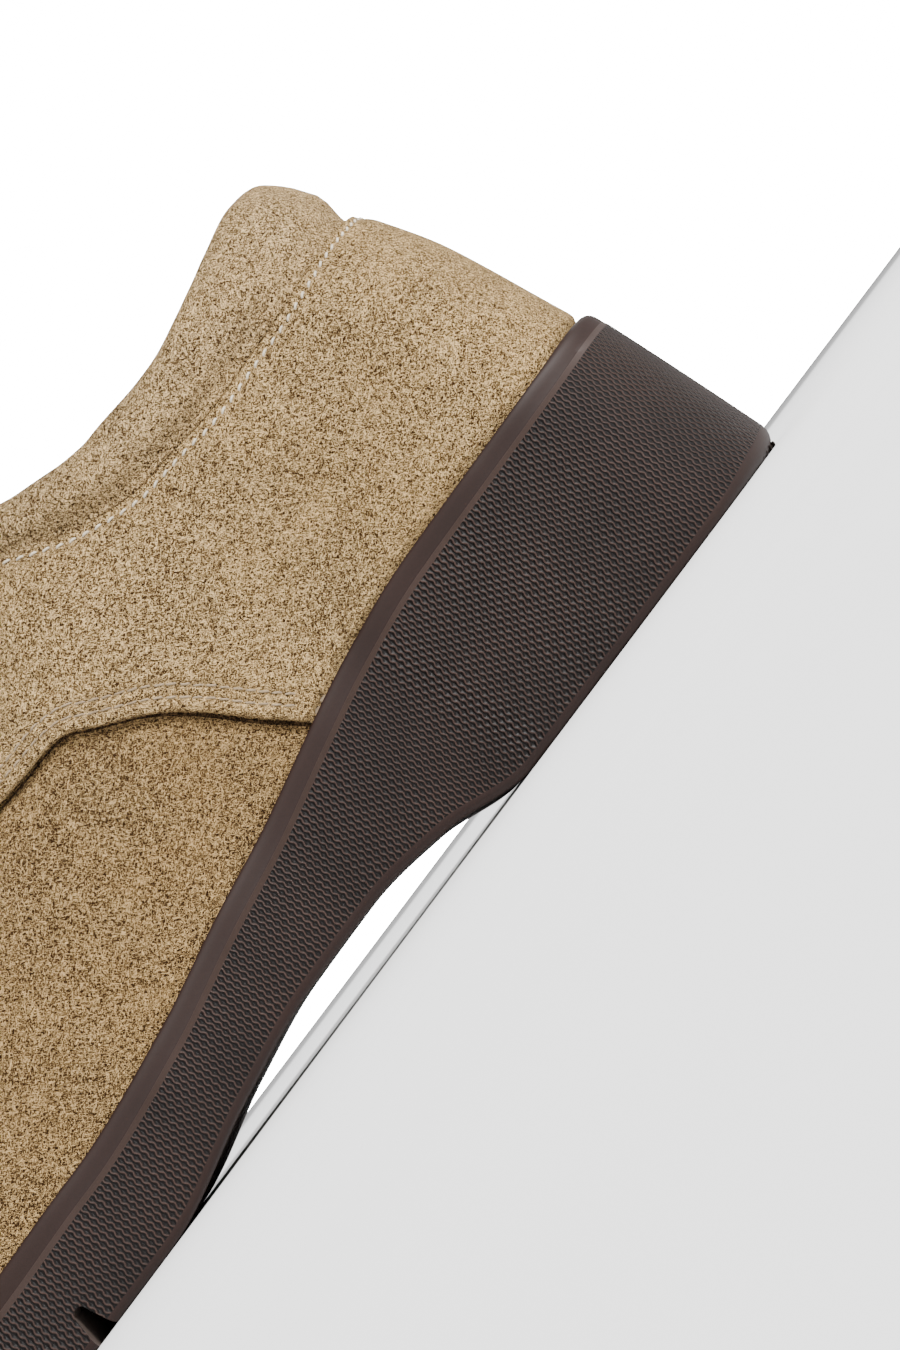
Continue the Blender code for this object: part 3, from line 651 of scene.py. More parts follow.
def suede(name, dark, middle, light, warm):
    """Napped suede: short curly fibres with dark gaps of painted shade and painted highlights on their
    tips, over soft brushed patches.
    """
    material, tree, shader, place = new_material(name, 0.95, 0.06)
    patches = noise_of(tree, place, PATCH_SCALE, 3.0, 0.5, 0.5)
    strokes = noise_of(tree, place, STROKE_SCALE, 3.0, 0.6, 1.0)
    fine = noise_of(tree, place, FINE_SCALE, 2.0, 0.6, 0.8)
    first = combed(tree, place, 0.55, FIBRE_WIDTH, FIBRE_LENGTH)
    second = combed(tree, place, -0.75, FIBRE_WIDTH, FIBRE_LENGTH)
    nap = calc(tree, "MAXIMUM", first, second)
    level = calc(tree, "MULTIPLY_ADD", fine, 0.42, calc(tree, "MULTIPLY", nap, 1.25))
    level = calc(tree, "MULTIPLY_ADD", strokes, 0.06, level)
    level = calc(tree, "MULTIPLY_ADD", patches, 0.07, calc(tree, "SUBTRACT", level, 0.478))
    # the ramp runs from painted shade in the gaps between fibres, through the nap's own tones, to a
    # painted highlight on the fibre tips at the light tone times 1.75
    painted_fibre_highlight = tuple(c * 1.75 for c in light)
    colour = ramp(tree, level, ((0.43, dark), (0.475, middle), (0.515, light), (0.575, painted_fibre_highlight)))
    toned = mix(tree, calc(tree, "MULTIPLY", patches, 0.6), colour, warm, "MULTIPLY")
    tree.links.new(toned, shader.inputs["Base Color"])
    bumped(tree, shader, ((strokes, 0.30, 0.0006), (nap, 1.0, 0.0014), (fine, 0.8, 0.0005)))
    return material


def rubber(name, dark, light, roughness, grain=False):
    """Moulded rubber, with the fine wavy grain of the side wall where asked for."""
    material, tree, shader, place = new_material(name, roughness, 0.22)
    cloudy = noise_of(tree, place, CLOUD_SCALE, 3.0, 0.45)
    specks = noise_of(tree, place, SPECK_SCALE, 1.0, 0.5)
    tone = calc(tree, "MULTIPLY_ADD", specks, 0.35, calc(tree, "MULTIPLY_ADD", cloudy, 0.35, 0.12))
    if grain:
        wall = node(tree, "ShaderNodeUVMap", uv_map="wall").outputs[0]
        parts = node(tree, "ShaderNodeSeparateXYZ", {0: wall})
        wobble = noise_of(tree, wall, WOBBLE_SCALE, 2.0)
        run = calc(tree, "MULTIPLY_ADD", wobble, 0.5, calc(
            tree, "MULTIPLY", parts.outputs[0], 1 / GRAIN_PITCH))
        rise = calc(tree, "MULTIPLY", parts.outputs[1], 1 / GRAIN_RISE)
        beads = calc(tree, "COSINE", calc(tree, "MULTIPLY", rise, 2 * math.pi))
        turned = calc(tree, "COSINE", calc(tree, "MULTIPLY", run, math.pi))
        swing = calc(tree, "MULTIPLY", calc(tree, "MULTIPLY", turned, beads), GRAIN_SWING)
        height = calc(tree, "COSINE", calc(tree, "MULTIPLY_ADD", run, 2 * math.pi, swing))
        height = calc(tree, "SMOOTH_MIN", height, 0.55, 0.4)
        # the grain's height also lightens the colour on the ridges and darkens it in the grooves: painted
        # highlight and painted shade
        tone = calc(tree, "MULTIPLY_ADD", height, 0.34, tone)
        bumped(tree, shader, ((height, 1.0, 0.00075), (specks, 0.6, 0.00012)))
    else:
        worn = noise_of(tree, place, WEAR_SCALE, 3.0, 0.6)
        bumped(tree, shader, ((worn, 0.12, 0.0002), (specks, 0.18, 0.00006)))
    tree.links.new(ramp(tree, tone, ((0.25, dark), (0.75, light))), shader.inputs["Base Color"])
    gloss = calc(tree, "MULTIPLY_ADD", cloudy, 0.12, roughness - 0.06)
    tree.links.new(gloss, shader.inputs["Roughness"])
    return material


def cloth(name, dark, light, scale):
    """Smooth lining or cord with a tight weave."""
    material, tree, shader, place = new_material(name, 0.85, 0.25)
    weave = noise_of(tree, place, scale, 3.0, 0.6)
    broad = noise_of(tree, place, 60.0, 2.0)
    tone = calc(tree, "MULTIPLY_ADD", weave, 0.6, calc(tree, "MULTIPLY", broad, 0.4))
    tree.links.new(ramp(tree, tone, ((0.3, dark), (0.7, light))), shader.inputs["Base Color"])
    shader.inputs["Sheen Weight"].default_value = 0.15
    bumped(tree, shader, ((weave, 0.5, 0.0002),))
    return material


SUEDE = suede(
    "tan_suede", (0.038, 0.0182, 0.0060), (0.250, 0.158, 0.071), (0.485, 0.342, 0.170),
    (0.99, 0.88, 0.70),
)
# darker, redder copy of the tan suede for the vamp: a browner tone of its own, and painted shade where
# the vamp faces away from the light
VAMP_SUEDE_WITH_PAINTED_SHADE = suede(
    "brown_suede_with_painted_shade", (0.031, 0.0147, 0.0050), (0.180, 0.110, 0.047), (0.355, 0.242, 0.115),
    (0.99, 0.86, 0.66),
)
SUEDE_COLLAR = suede(
    "collar_suede", (0.040, 0.0200, 0.0075), (0.262, 0.171, 0.082), (0.510, 0.366, 0.192),
    (0.98, 0.86, 0.67),
)
# near-black copy of the suede for the vamp's strip in front of the quarters' edge: painted shade under
# that edge
SUEDE_PAINTED_SHADE = suede(
    "painted_shade_suede", (0.010, 0.0050, 0.0020), (0.040, 0.0225, 0.0100), (0.085, 0.052, 0.026),
    (0.99, 0.86, 0.66),
)
LINING = cloth("beige_lining", (0.19, 0.135, 0.082), (0.34, 0.255, 0.165), 1500.0)
THREAD = cloth("cream_thread", (0.36, 0.29, 0.20), (0.66, 0.58, 0.45), 2600.0)
TONAL = cloth("tan_thread", (0.13, 0.085, 0.044), (0.34, 0.255, 0.155), 2600.0)
CORD = cloth("taupe_lace", (0.11, 0.075, 0.043), (0.26, 0.185, 0.115), 3000.0)
WALL_RUBBER = rubber("grained_rubber", (0.0020, 0.0008, 0.0005), (0.036, 0.0180, 0.0130), 0.50, True)
LIP_RUBBER = rubber("smooth_rubber", (0.0080, 0.0026, 0.0015), (0.0175, 0.0065, 0.0040), 0.60)
# lighter than the lip and the wall rubber: a painted highlight on the ledge's shelf, which faces up
LEDGE_RUBBER_PAINTED_HIGHLIGHT = rubber("ledge_rubber_with_painted_highlight", (0.022, 0.0135, 0.0110), (0.045, 0.030, 0.0255), 0.50)
TREAD_RUBBER = rubber("tread_rubber", (0.030, 0.0205, 0.0165), (0.060, 0.045, 0.038), 0.62)


# Sole
WALL_SLOT = 0
LIP_SLOT = 1
LEDGE_HIGHLIGHT_SLOT = 2
TREAD_SLOT = 3
SOLE_STATIONS = 320
SHARP_ANGLE = math.radians(32.0)
MATCH_BLOCK = 2000
ARC_STEPS = 6
WALL_STEPS = 7
LIP_STEPS = 7
WALL_TUCK = 0.0009
TUCK_START = (0.236, 0.262)
TUCK_END = (0.56, 0.66)
LEDGE_FADE = (0.006, 0.085)
LEDGE_AT_BACK = 0.15
LEDGE_LOW_STEP = 0.0002
LEDGE_LOW_RISE = 0.00012
LEDGE_HIGH_STEP = 0.0001
LIP_ROUND_SHARE = 0.62
LIP_TOP_FALL = 0.0002
RIB_PITCH = 0.00155
RIB_DEPTH = 0.0008
RIB_INSET = 0.0026
RIB_WIDTH = 0.00052
RIB_GAP = 0.00024
RIB_BOW = 0.0012
RIB_END = 0.236
TREAD_MARGIN = 0.0065
SIPE_WIDTH = 0.00045
SIPE_DEPTH = 0.0016
RECESS_DEPTH = 0.0013
CUT_START = 0.003
GROOVE_TIP_SHARE = 0.52
GROOVE_ARC_STEPS = 8
SLOT_STEPS = 21
SLOT_SIDES = 16

TreadBlock = namedtuple("TreadBlock", "start end turned")
# parts of the forefoot between the flex grooves, as shares of the length
TREAD_BLOCKS = (
    TreadBlock(0.512, 0.618, False),
    TreadBlock(0.640, 0.697, True),
    TreadBlock(0.719, 0.776, False),
    TreadBlock(0.798, 0.905, True),
)

Sipe = namedtuple("Sipe", "run across run_end across_end")
# thin cuts of one block: run from its rear to its front, across from the inner to the outer edge
SIPES = (
    Sipe(0.02, 0.62, 0.98, 0.42),
    Sipe(0.00, 0.36, 0.52, 0.10),
    Sipe(0.30, 0.22, 0.99, 0.74),
    Sipe(0.00, 0.12, 0.66, -0.28),
    Sipe(0.52, 0.10, 1.00, 0.16),
    Sipe(0.06, -0.10, 0.48, 0.12),
    Sipe(0.44, -0.06, 1.00, -0.02),
    Sipe(0.02, -0.34, 0.40, -0.04),
    Sipe(0.10, -0.56, 0.98, -0.10),
    Sipe(0.46, -0.40, 1.00, -0.36),
    Sipe(0.56, -0.30, 0.98, -0.62),
    Sipe(0.62, 0.02, 0.98, 0.30),
)

Recess = namedtuple("Recess", "run across run_2 across_2 run_3 across_3")
# three-sided pockets between the cuts
RECESSES = (
    Recess(0.10, 0.86, 0.80, 0.84, 0.46, 0.58),
    Recess(0.02, 0.54, 0.02, 0.40, 0.40, 0.36),
    Recess(0.03, 0.28, 0.03, 0.18, 0.30, 0.20),
    Recess(0.12, 0.04, 0.42, 0.00, 0.36, -0.10),
    Recess(0.06, -0.16, 0.06, -0.26, 0.34, -0.12),
    Recess(0.16, -0.44, 0.60, -0.22, 0.30, -0.30),
    Recess(0.14, -0.72, 0.74, -0.60, 0.44, -0.86),
    Recess(0.66, 0.36, 0.90, 0.54, 0.92, 0.44),
    Recess(0.60, 0.22, 0.86, 0.24, 0.90, 0.32),
    Recess(0.66, -0.08, 0.92, -0.06, 0.92, -0.20),
    Recess(0.64, -0.44, 0.92, -0.42, 0.92, -0.56),
    Recess(0.84, 0.66, 0.95, 0.78, 0.95, 0.58),
)


def sole_profile(along):
    """Inset, height and material slot of each ring of the sole from the tread to the cup."""
    low = bottom_height(along)
    rand = rand_height(along)
    ledge = rand - LIP_HEIGHT
    edge = EDGE_RADIUS * interpolate(SOLE_ROWS, "edge", along)
    tuck = WALL_TUCK * smooth_step(along, *TUCK_START) * (1 - smooth_step(along, *TUCK_END))
    recess = RIB_DEPTH * (along < RIB_END)
    rings = [(RIB_INSET + tuck, low + recess, TREAD_SLOT), (RIB_INSET + tuck, low, TREAD_SLOT)]
    for i in range(ARC_STEPS + 1):
        angle = math.pi / 2 * i / ARC_STEPS
        inset = edge * (1 - math.sin(angle)) + tuck
        rings.append((inset, low + edge * (1 - math.cos(angle)), LIP_SLOT))
    for i in range(1, WALL_STEPS + 1):
        share = i / WALL_STEPS
        inset = WALL_FLARE * (0.8 * share + 0.2 * share ** 2) + tuck * (1 - share) ** 1.5
        rings.append((inset, low + edge + (ledge - low - edge) * share, WALL_SLOT))
    shown = LEDGE_AT_BACK + (1 - LEDGE_AT_BACK) * smooth_step(along, *LEDGE_FADE)
    lip_inset = LIP_INSET - LEDGE_WIDTH * (1 - shown)
    lip_low = ledge + LEDGE_RISE
    rings.append((WALL_FLARE + LEDGE_LOW_STEP * shown, ledge + LEDGE_LOW_RISE, LEDGE_HIGHLIGHT_SLOT))
    rings.append((lip_inset - LEDGE_HIGH_STEP * shown, lip_low, LEDGE_HIGHLIGHT_SLOT))
    reach = LIP_INSET + LIP_THICKNESS * LIP_ROUND_SHARE - lip_inset
    for i in range(1, LIP_STEPS + 1):
        angle = math.pi / 2 * i / LIP_STEPS
        inset = lip_inset + reach * (1 - math.cos(angle)) ** 1.4
        rings.append((inset, lip_low + (rand - lip_low) * math.sin(angle), LIP_SLOT))
    for fall in (LIP_TOP_FALL, CUP_DEPTH):
        rings.append((np.full_like(low, LIP_INSET + LIP_THICKNESS), rand - fall, LIP_SLOT))
    return rings


def boolean_cut(piece, tool, slot, crossing):
    """Cut a tool out of a piece, the cut faces in one slot; crossing says its parts overlap."""
    for material in piece.data.materials:
        tool.data.materials.append(material)
    tool.data.polygons.foreach_set("material_index", [slot] * len(tool.data.polygons))
    modifier = piece.modifiers.new("Cut", "BOOLEAN")
    modifier.operation = "DIFFERENCE"
    modifier.solver = "EXACT"
    modifier.use_self = crossing
    modifier.object = tool
    graph = bpy.context.evaluated_depsgraph_get()
    mesh = bpy.data.meshes.new_from_object(piece.evaluated_get(graph))
    piece.modifiers.clear()
    piece.data = mesh
    bpy.data.objects.remove(tool)


def groove_tool(row):
    """Rounded notch across the forefoot."""
    centre = float(interpolate(SOLE_ROWS, "centre", row.along)) * BALL_WIDTH
    depth = GROOVE_DEPTH * row.depth
    floor = float(bottom_height(row.along))
    half = GROOVE_WIDTH / 2
    tip = half * GROOVE_TIP_SHARE
    profile = [(-half * 1.5, -depth * 0.5), (half * 1.5, -depth * 0.5), (half, 0.0)]
    for k in range(GROOVE_ARC_STEPS + 1):
        angle = math.pi * k / GROOVE_ARC_STEPS
        profile.append((tip * math.cos(angle), depth - tip + tip * math.sin(angle)))
    profile.append((-half, 0.0))
    way = np.array([-math.sin(GROOVE_TURN), math.cos(GROOVE_TURN), 0.0]) * BALL_WIDTH
    corners = []
    for x, z in profile:
        place = [x * math.cos(GROOVE_TURN), x * math.sin(GROOVE_TURN), z]
        corners.append(place + np.array([row.along * LENGTH, centre, floor]) + PLAN_SHIFT)
    return extruded(corners, -way, way)


def tread_place(block, run, across):
    """Plan place and floor height of a point of one tread block."""
    if block.turned:
        across = -across
    along = block.start + (block.end - block.start) * run
    half = float(sole_half_width(along)) - TREAD_MARGIN
    centre = float(interpolate(SOLE_ROWS, "centre", along)) * BALL_WIDTH
    x = along * LENGTH - across * half * math.sin(GROOVE_TURN)
    return np.array([x, centre + across * half, float(bottom_height(along))]) + PLAN_SHIFT


def tread_cut(corners, depth):
    """Straight cut of a depth into the tread."""
    return extruded(corners, np.array([0.0, 0.0, -CUT_START]), np.array([0.0, 0.0, depth]))


def tread_tools():
    """Cuts of the forefoot tread: thin sipes and three-sided pockets in each block."""
    tools = []
    for block in TREAD_BLOCKS:
        for row in SIPES:
            first = tread_place(block, row.run, row.across)
            second = tread_place(block, row.run_end, row.across_end)
            way = unit(second - first)
            beside = np.array([-way[1], way[0], 0.0]) * SIPE_WIDTH / 2
            corners = [first - beside, second - beside, second + beside, first + beside]
            tools.append(tread_cut(corners, SIPE_DEPTH))
        for row in RECESSES:
            corners = [
                tread_place(block, row.run, row.across),
                tread_place(block, row.run_2, row.across_2),
                tread_place(block, row.run_3, row.across_3),
            ]
            tools.append(tread_cut(corners, RECESS_DEPTH))
    return tools


def slot_tool():
    """Bent rod that leaves the curved recess in the arch."""
    line = []
    for share in np.linspace(-1.0, 1.0, SLOT_STEPS):
        run = share * (SLOT_LENGTH - SLOT_WIDTH) / 2
        bend = SLOT_BEND * share ** 2
        x = SLOT_ALONG * LENGTH + run * math.cos(SLOT_TURN) - bend * math.sin(SLOT_TURN)
        y = SLOT_SIDE + run * math.sin(SLOT_TURN) + bend * math.cos(SLOT_TURN)
        height = float(bottom_height(x / LENGTH)) + SLOT_DEPTH - SLOT_WIDTH / 2
        line.append(np.array([x, y, height]) + PLAN_SHIFT)
    return tube(line, SLOT_WIDTH / 2, SLOT_SIDES, cap=True)


# corners of one bar's section, as shares of its width and depth
RIB_SECTION = ((-0.5, 1.2), (-0.46, 0.22), (-0.26, 0.0), (0.26, 0.0), (0.46, 0.22), (0.5, 1.2))
RIB_STEPS = 18
RIB_TIP_SHARE = 0.15
RIB_TIP_LIFT = 0.6


def build_ribs():
    """Transverse ribs under the heel, each of two thin bars with rounded ends."""
    points, faces = [], []
    x = RIB_INSET + RIB_PITCH * 0.6
    while x < RIB_END * LENGTH - RIB_PITCH * 0.4:
        half = float(sole_half_width(x / LENGTH)) - RIB_INSET
        centre = float(interpolate(SOLE_ROWS, "centre", x / LENGTH)) * BALL_WIDTH
        for beside in (-1, 1):
            start = len(points)
            for v in np.linspace(-1.0, 1.0, RIB_STEPS + 1):
                full = (1 - abs(v) ** 30) ** 0.5 * (1 - RIB_TIP_SHARE) + RIB_TIP_SHARE
                bow = RIB_BOW * (v * half / HEEL_WIDTH * 2) ** 2
                for across, height in RIB_SECTION:
                    place_x = x + bow + beside * (RIB_WIDTH + RIB_GAP) / 2 + across * RIB_WIDTH * full
                    place_z = RIB_DEPTH * (height + (1 - full) * RIB_TIP_LIFT * (height < 1))
                    points.append(np.array([place_x, centre + v * half, place_z]) + PLAN_SHIFT)
            faces += grid_faces(RIB_STEPS + 1, len(RIB_SECTION), start)
            last = start + RIB_STEPS * len(RIB_SECTION)
            faces.append([start + k for k in range(len(RIB_SECTION))])
            faces.append([last + k for k in range(len(RIB_SECTION))][::-1])
        x += RIB_PITCH
    ribs = new_piece("heel_ribs", points, faces, (TREAD_RUBBER,), smooth=False)
    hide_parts("sole")


def add_wall_map(sole, outline):
    """UV map of the sole's wall: the run round an outline and the height, both in metres."""
    lengths = np.linalg.norm(np.diff(outline, axis=0, append=outline[:1]), axis=1)
    run = np.concatenate([[0.0], np.cumsum(lengths)])[:-1]
    total = lengths.sum()
    layer = sole.data.uv_layers.new(name="wall")
    vertices = np.array([v.co for v in sole.data.vertices])
    nearest = np.empty(len(vertices), int)
    for start in range(0, len(vertices), MATCH_BLOCK):
        block = vertices[start:start + MATCH_BLOCK, None, :2] - outline[None, :, :2]
        nearest[start:start + MATCH_BLOCK] = (block ** 2).sum(axis=2).argmin(axis=1)
    ahead = np.roll(outline, -1, axis=0) - np.roll(outline, 1, axis=0)
    ahead = unit(ahead * np.array([1.0, 1.0, 0.0]))
    offset = ((vertices - outline[nearest])[:, :2] * ahead[nearest][:, :2]).sum(axis=1)
    u = run[nearest] + offset
    for polygon in sole.data.polygons:
        values = [u[v] for v in polygon.vertices]
        base = values[0]
        for loop, vertex, value in zip(polygon.loop_indices, polygon.vertices, values):
            if value - base > total / 2:
                value -= total
            elif base - value > total / 2:
                value += total
            layer.data[loop].uv = (value, vertices[vertex][2])


def build_sole():
    """Rings round the outline from the tread to the cup, then the cuts and the wall's map."""
    stations = np.linspace(0.0, 1.0, SOLE_STATIONS + 1)
    ring = [(s, OUTER) for s in stations] + [(s, INNER) for s in stations[-2:0:-1]]
    station = np.array([s for s, _ in ring])
    side = np.array([k for _, k in ring])
    along = along_of(station)
    rings = sole_profile(along)
    points = []
    for inset, height, _ in rings:
        outer = plan_point(station, OUTER, inset, height)
        inner = plan_point(station, INNER, inset, height)
        points.append(np.where((side == OUTER)[:, None], outer, inner))
    points = np.array(points)
    size = len(ring)
    faces = grid_faces(len(rings), size, closed=True)
    slots = [slot for _, _, slot in rings[1:] for _ in range(size)]
    for level in (0, len(rings) - 1):
        for i in range(size // 2):
            corners = []
            for k in (i, i + 1, size - i - 1, size - i):
                index = level * size + k % size
                if index not in corners:
                    corners.append(index)
            if len(corners) > 2:
                faces.append(corners)
                slots.append(TREAD_SLOT)
    sole = new_piece(
        "rubber_sole", points.reshape(-1, 3), faces,
        (WALL_RUBBER, LIP_RUBBER, LEDGE_RUBBER_PAINTED_HIGHLIGHT, TREAD_RUBBER), slots, weld=FINE_WELD,
    )
    parts = [groove_tool(row) for row in GROOVE_ROWS] + tread_tools() + [slot_tool()]
    boolean_cut(sole, mesh_object("sole_tool", *joined_parts(parts)), TREAD_SLOT, crossing=True)
    sole.data.set_sharp_from_angle(angle=SHARP_ANGLE)
    add_wall_map(sole, points[ARC_STEPS + 2])
    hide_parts("sole")


# Upper
QUARTER_RIMS = {"low": LINING_SLOT, "top": SUEDE_SLOT, "last": SUEDE_SLOT}
VAMP_RIMS = {"low": LINING_SLOT, "top": SUEDE_SLOT, "first": SUEDE_SLOT}
UPPER_ROWS = 90
QUARTER_COLUMNS = 130
STITCH_ROWS = (0.0025, 0.0047)
STITCH_DENT = 0.00042
STITCH_DENT_WIDTH = 0.00055
VAMP_OVERLAP = 0.008
SEAM_STITCH = 0.0014
SEAM_DENT = 0.00030
SEAM_DENT_WIDTH = 0.0007
SEAM_DENT_START = (0.003, 0.006)
SEAM_FALL = 0.0006
SEAM_FALL_WIDTH = 0.0045
SEAM_FALL_END = (0.35, 0.40)
EDGE_SWELL = 0.00055
EDGE_SWELL_PLACE = 0.0011
EDGE_SWELL_WIDTH = 0.0016
EDGE_FALL = (-0.0008, 0.0004)
EDGE_TROUGH = 0.0010
EDGE_TROUGH_WIDTH = 0.0012
EDGE_ROOM = 0.018
HIDDEN_DROP = 0.0004
LEAST_LIFT = 0.0002
LINING_LIFT = 0.0001
WALL_START = (1.02, 1.35)
RELIEF_START = 0.006
# height, size and seed of the soft swells of the worn suede
FOLDS = ((0.00035, 0.030, 3), (0.00018, 0.011, 5))
TUCK_SHARE = VAMP_OVERLAP / LENGTH * 0.75
PAINTED_SHADE_COLUMNS = 2
EYELET_SIDES = 28
EYELET_SEARCH = 0.005


def edge_line(side, count=240):
    """Front edge of the quarter from the sole to the lacing gap, on the base surface."""
    share = np.linspace(0.0, 1.0, count)
    station = station_of(interpolate(EDGE_ROWS, "along", share))
    return upper_point(station, side, share * upper_top(station))


def quarter_grid(rows, columns):
    """Stations and shares of one side, closer together at the front edge."""
    share = np.linspace(0.0, 1.0, rows)[:, None]
    across = np.linspace(0.0, 1.0, columns)
    across = 1 - (1 - across) ** 1.5
    edge = station_of(interpolate(EDGE_ROWS, "along", share))
    station = edge * across[None, :]
    return station, share * upper_top(station), share


def quarter_gap(station, share):
    """Distance behind the quarter's front edge, in lengths of the vamp's hidden strip."""
    return (station_of(interpolate(EDGE_ROWS, "along", share)) - station) / TUCK_SHARE


def foot_line(station, side):
    """Foot of the upper on the floor of the sole's cup, and the way inward from it."""
    foot = feather(station, side)
    low = rand_height(along_of(station)) - CUP_DEPTH + CLEARANCE
    return joined(foot[:, 0], foot[:, 1], low), inward_normal(station, side)


def rise_share(base, station, side):
    """Height over the feather edge as a share of the quarter's step there."""
    return np.clip((base[..., 2] - feather(station, side)[..., 2]) / STEP_RISE, 0.0, 1.0)


def fold_relief(base, to_edge, rise, low):
    """Soft swells along the surface normal, flat at the quarter's edge and at the foot."""
    relief = layered_noise(base, FOLDS) * smooth_step(to_edge, 0.0, RELIEF_START)
    return relief * smooth_step(rise, low, 1.0)


def build_quarters():
    """Both quarters, lifted over the vamp by a step, with sunk stitch rows and eyelet holes."""
    sides, slots = [], []
    for side in (OUTER, INNER):
        station, up, share = quarter_grid(UPPER_ROWS, QUARTER_COLUMNS)
        base = upper_point(station, side, up)
        normal = upper_normal(station, side, up)
        to_edge = distance_to_line(base, edge_line(side))
        seam = np.linspace(0.0, 1.0, 260) * station_of(EDGE_ROWS[-1].along)
        to_top = distance_to_line(base, upper_point(seam, side, upper_top(seam)))
        rise = rise_share(base, station, side)
        lift = LEAST_LIFT + (QUARTER_STEP - LEAST_LIFT) * smooth_step(rise, 0.0, 1.0)
        lift = lift + EDGE_SWELL * bump_at(to_edge, EDGE_SWELL_PLACE, EDGE_SWELL_WIDTH) * rise
        for place in STITCH_ROWS:
            lift = lift - STITCH_DENT * bump_at(to_edge, place, STITCH_DENT_WIDTH)
        lift = lift * smooth_step(to_edge, *EDGE_FALL)
        at_seam = 1 - smooth_step(to_top, 0.0, SEAM_FALL_WIDTH)
        at_seam = at_seam * (1 - smooth_step(along_of(station), *SEAM_FALL_END))
        lift = lift - SEAM_FALL * at_seam
        dent = SEAM_DENT * bump_at(to_top, SEAM_STITCH, SEAM_DENT_WIDTH)
        lift = lift - dent * smooth_step(to_edge, *SEAM_DENT_START)
        relief = fold_relief(base, to_edge, rise, 0.5)
        outer = base + normal * (lift + relief)[..., None]
        depth = WALL * smooth_step(quarter_gap(station, share), *WALL_START)
        inner = base - normal * (depth - LINING_LIFT)[..., None]
        foot, inward = foot_line(station[0], side)
        foot_inner = foot + inward * (depth[0] - LINING_LIFT)[..., None]
        foot = foot - inward * LINING_LIFT
        outer = np.concatenate([foot[None], outer])
        inner = np.concatenate([foot_inner[None], inner])
        points, faces, side_slots = sheet(outer, inner, QUARTER_RIMS)
        sides.append((points, faces))
        slots += side_slots
    quarters = new_piece("suede_quarters", *joined_parts(sides), (SUEDE, LINING), slots)
    tools = []
    for side in (OUTER, INNER):
        for station, up in eyelet_places():
            tools.append(eyelet_tool(station, side, up))
    boolean_cut(quarters, mesh_object("eyelet_tool", *joined_parts(tools)), SUEDE_SLOT, crossing=False)
    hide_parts("upper")
    return quarters


@lru_cache(maxsize=None)
def eyelet_places():
    places = []
    for i in range(EYELET_PAIRS):
        share = i / (EYELET_PAIRS - 1)
        station = float(station_of(EYELET_FIRST + (EYELET_LAST - EYELET_FIRST) * share))
        up = 1.0
        edge = upper_point(station, OUTER, 1.0)
        while np.linalg.norm(upper_point(station, OUTER, up) - edge) < EYELET_MARGIN:
            up -= EYELET_SEARCH
        places.append((station, up))
    return places


def eyelet_tool(station, side, up):
    """Round rod through the wall at one eyelet."""
    centre = upper_point(station, side, up)
    normal = upper_normal(station, side, up)
    turn = np.array(Vector(normal).to_track_quat("Z", "Y").to_matrix())
    rim = []
    for k in range(EYELET_SIDES):
        angle = 2 * math.pi * k / EYELET_SIDES
        rim.append(centre + turn @ np.array([math.cos(angle), math.sin(angle), 0.0]) * EYELET_RADIUS)
    reach = turn[:, 2] * (WALL + QUARTER_STEP) * 1.5
    return extruded(rim, -reach, reach)


def build_vamp():
    """Vamp from a strip hidden under the quarters to the toe, sunk along their front edge, with painted
    shade just in front of it.
    """
    sides, slots = [], []
    hidden = np.linspace(-TUCK_SHARE, 0.0, 9)[:-1]
    groove = np.linspace(0.0, EDGE_ROOM, 19)[:-1]
    rest = np.linspace(0.0, 1.0, 92)
    for side in (OUTER, INNER):
        share = np.linspace(0.0, 1.0, UPPER_ROWS)[:, None]
        edge = station_of(interpolate(EDGE_ROWS, "along", share))
        beyond = edge + EDGE_ROOM
        station = np.concatenate(
            [edge + hidden, edge + groove, beyond + (1 - beyond) * rest[None, :]], axis=1
        )
        up = share * upper_top(station)
        base = upper_point(station, side, up)
        normal = upper_normal(station, side, up)
        to_edge = distance_to_line(base, edge_line(side))
        behind = station < edge
        rise = rise_share(base, station, side)
        tuck = np.where(behind, -HIDDEN_DROP, 0.0) - EDGE_TROUGH * np.where(behind, rise, 0.0)
        trough = EDGE_TROUGH * bump_at(to_edge, 0.0, EDGE_TROUGH_WIDTH) * rise
        relief = np.where(behind, 0.0, fold_relief(base, to_edge, rise, 0.3) - trough)
        outer = base + normal * (relief + tuck)[..., None]
        inner = base - normal * WALL
        foot, inward = foot_line(station[0], side)
        foot_inner = foot + inward * WALL
        foot = foot + inward * np.where(behind[0], HIDDEN_DROP, 0.0)[:, None]
        outer = np.concatenate([foot[None], outer])
        inner = np.concatenate([foot_inner[None], inner])
        half = interpolate(TOP_ROWS, "half", along_of(station[-1]))
        opening = int((half > 1e-6).sum()) + 1
        points, faces, side_slots = sheet(outer, inner, VAMP_RIMS, opening)
        quads = station.shape[1] - 1
        # the first columns in front of the quarters' edge take the painted shade material: the shadow
        # under the raw edge
        for row in range(UPPER_ROWS):
            for column in range(len(hidden), len(hidden) + PAINTED_SHADE_COLUMNS):
                side_slots[row * quads + column] = PAINTED_SHADE_SLOT
        sides.append((points, faces))
        slots += side_slots
    vamp = new_piece("suede_vamp", *joined_parts(sides), (VAMP_SUEDE_WITH_PAINTED_SHADE, LINING, SUEDE_PAINTED_SHADE), slots)
    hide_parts("upper")


COLLAR_END_ROUND = 0.006
COLLAR_SWELL = 0.0016
COLLAR_SWELL_PLACE = 0.15
COLLAR_VALLEY = 0.0012
COLLAR_VALLEY_PLACE = -0.74
COLLAR_VALLEY_WIDTH = 0.26
COLLAR_END_FALL = 0.94
COLLAR_STATIONS = 150
COLLAR_SIDES = 36
# height, size and seed of the collar's fine ripples
RIPPLES = ((0.00045, 0.012, 8), (0.0003, 0.005, 9))


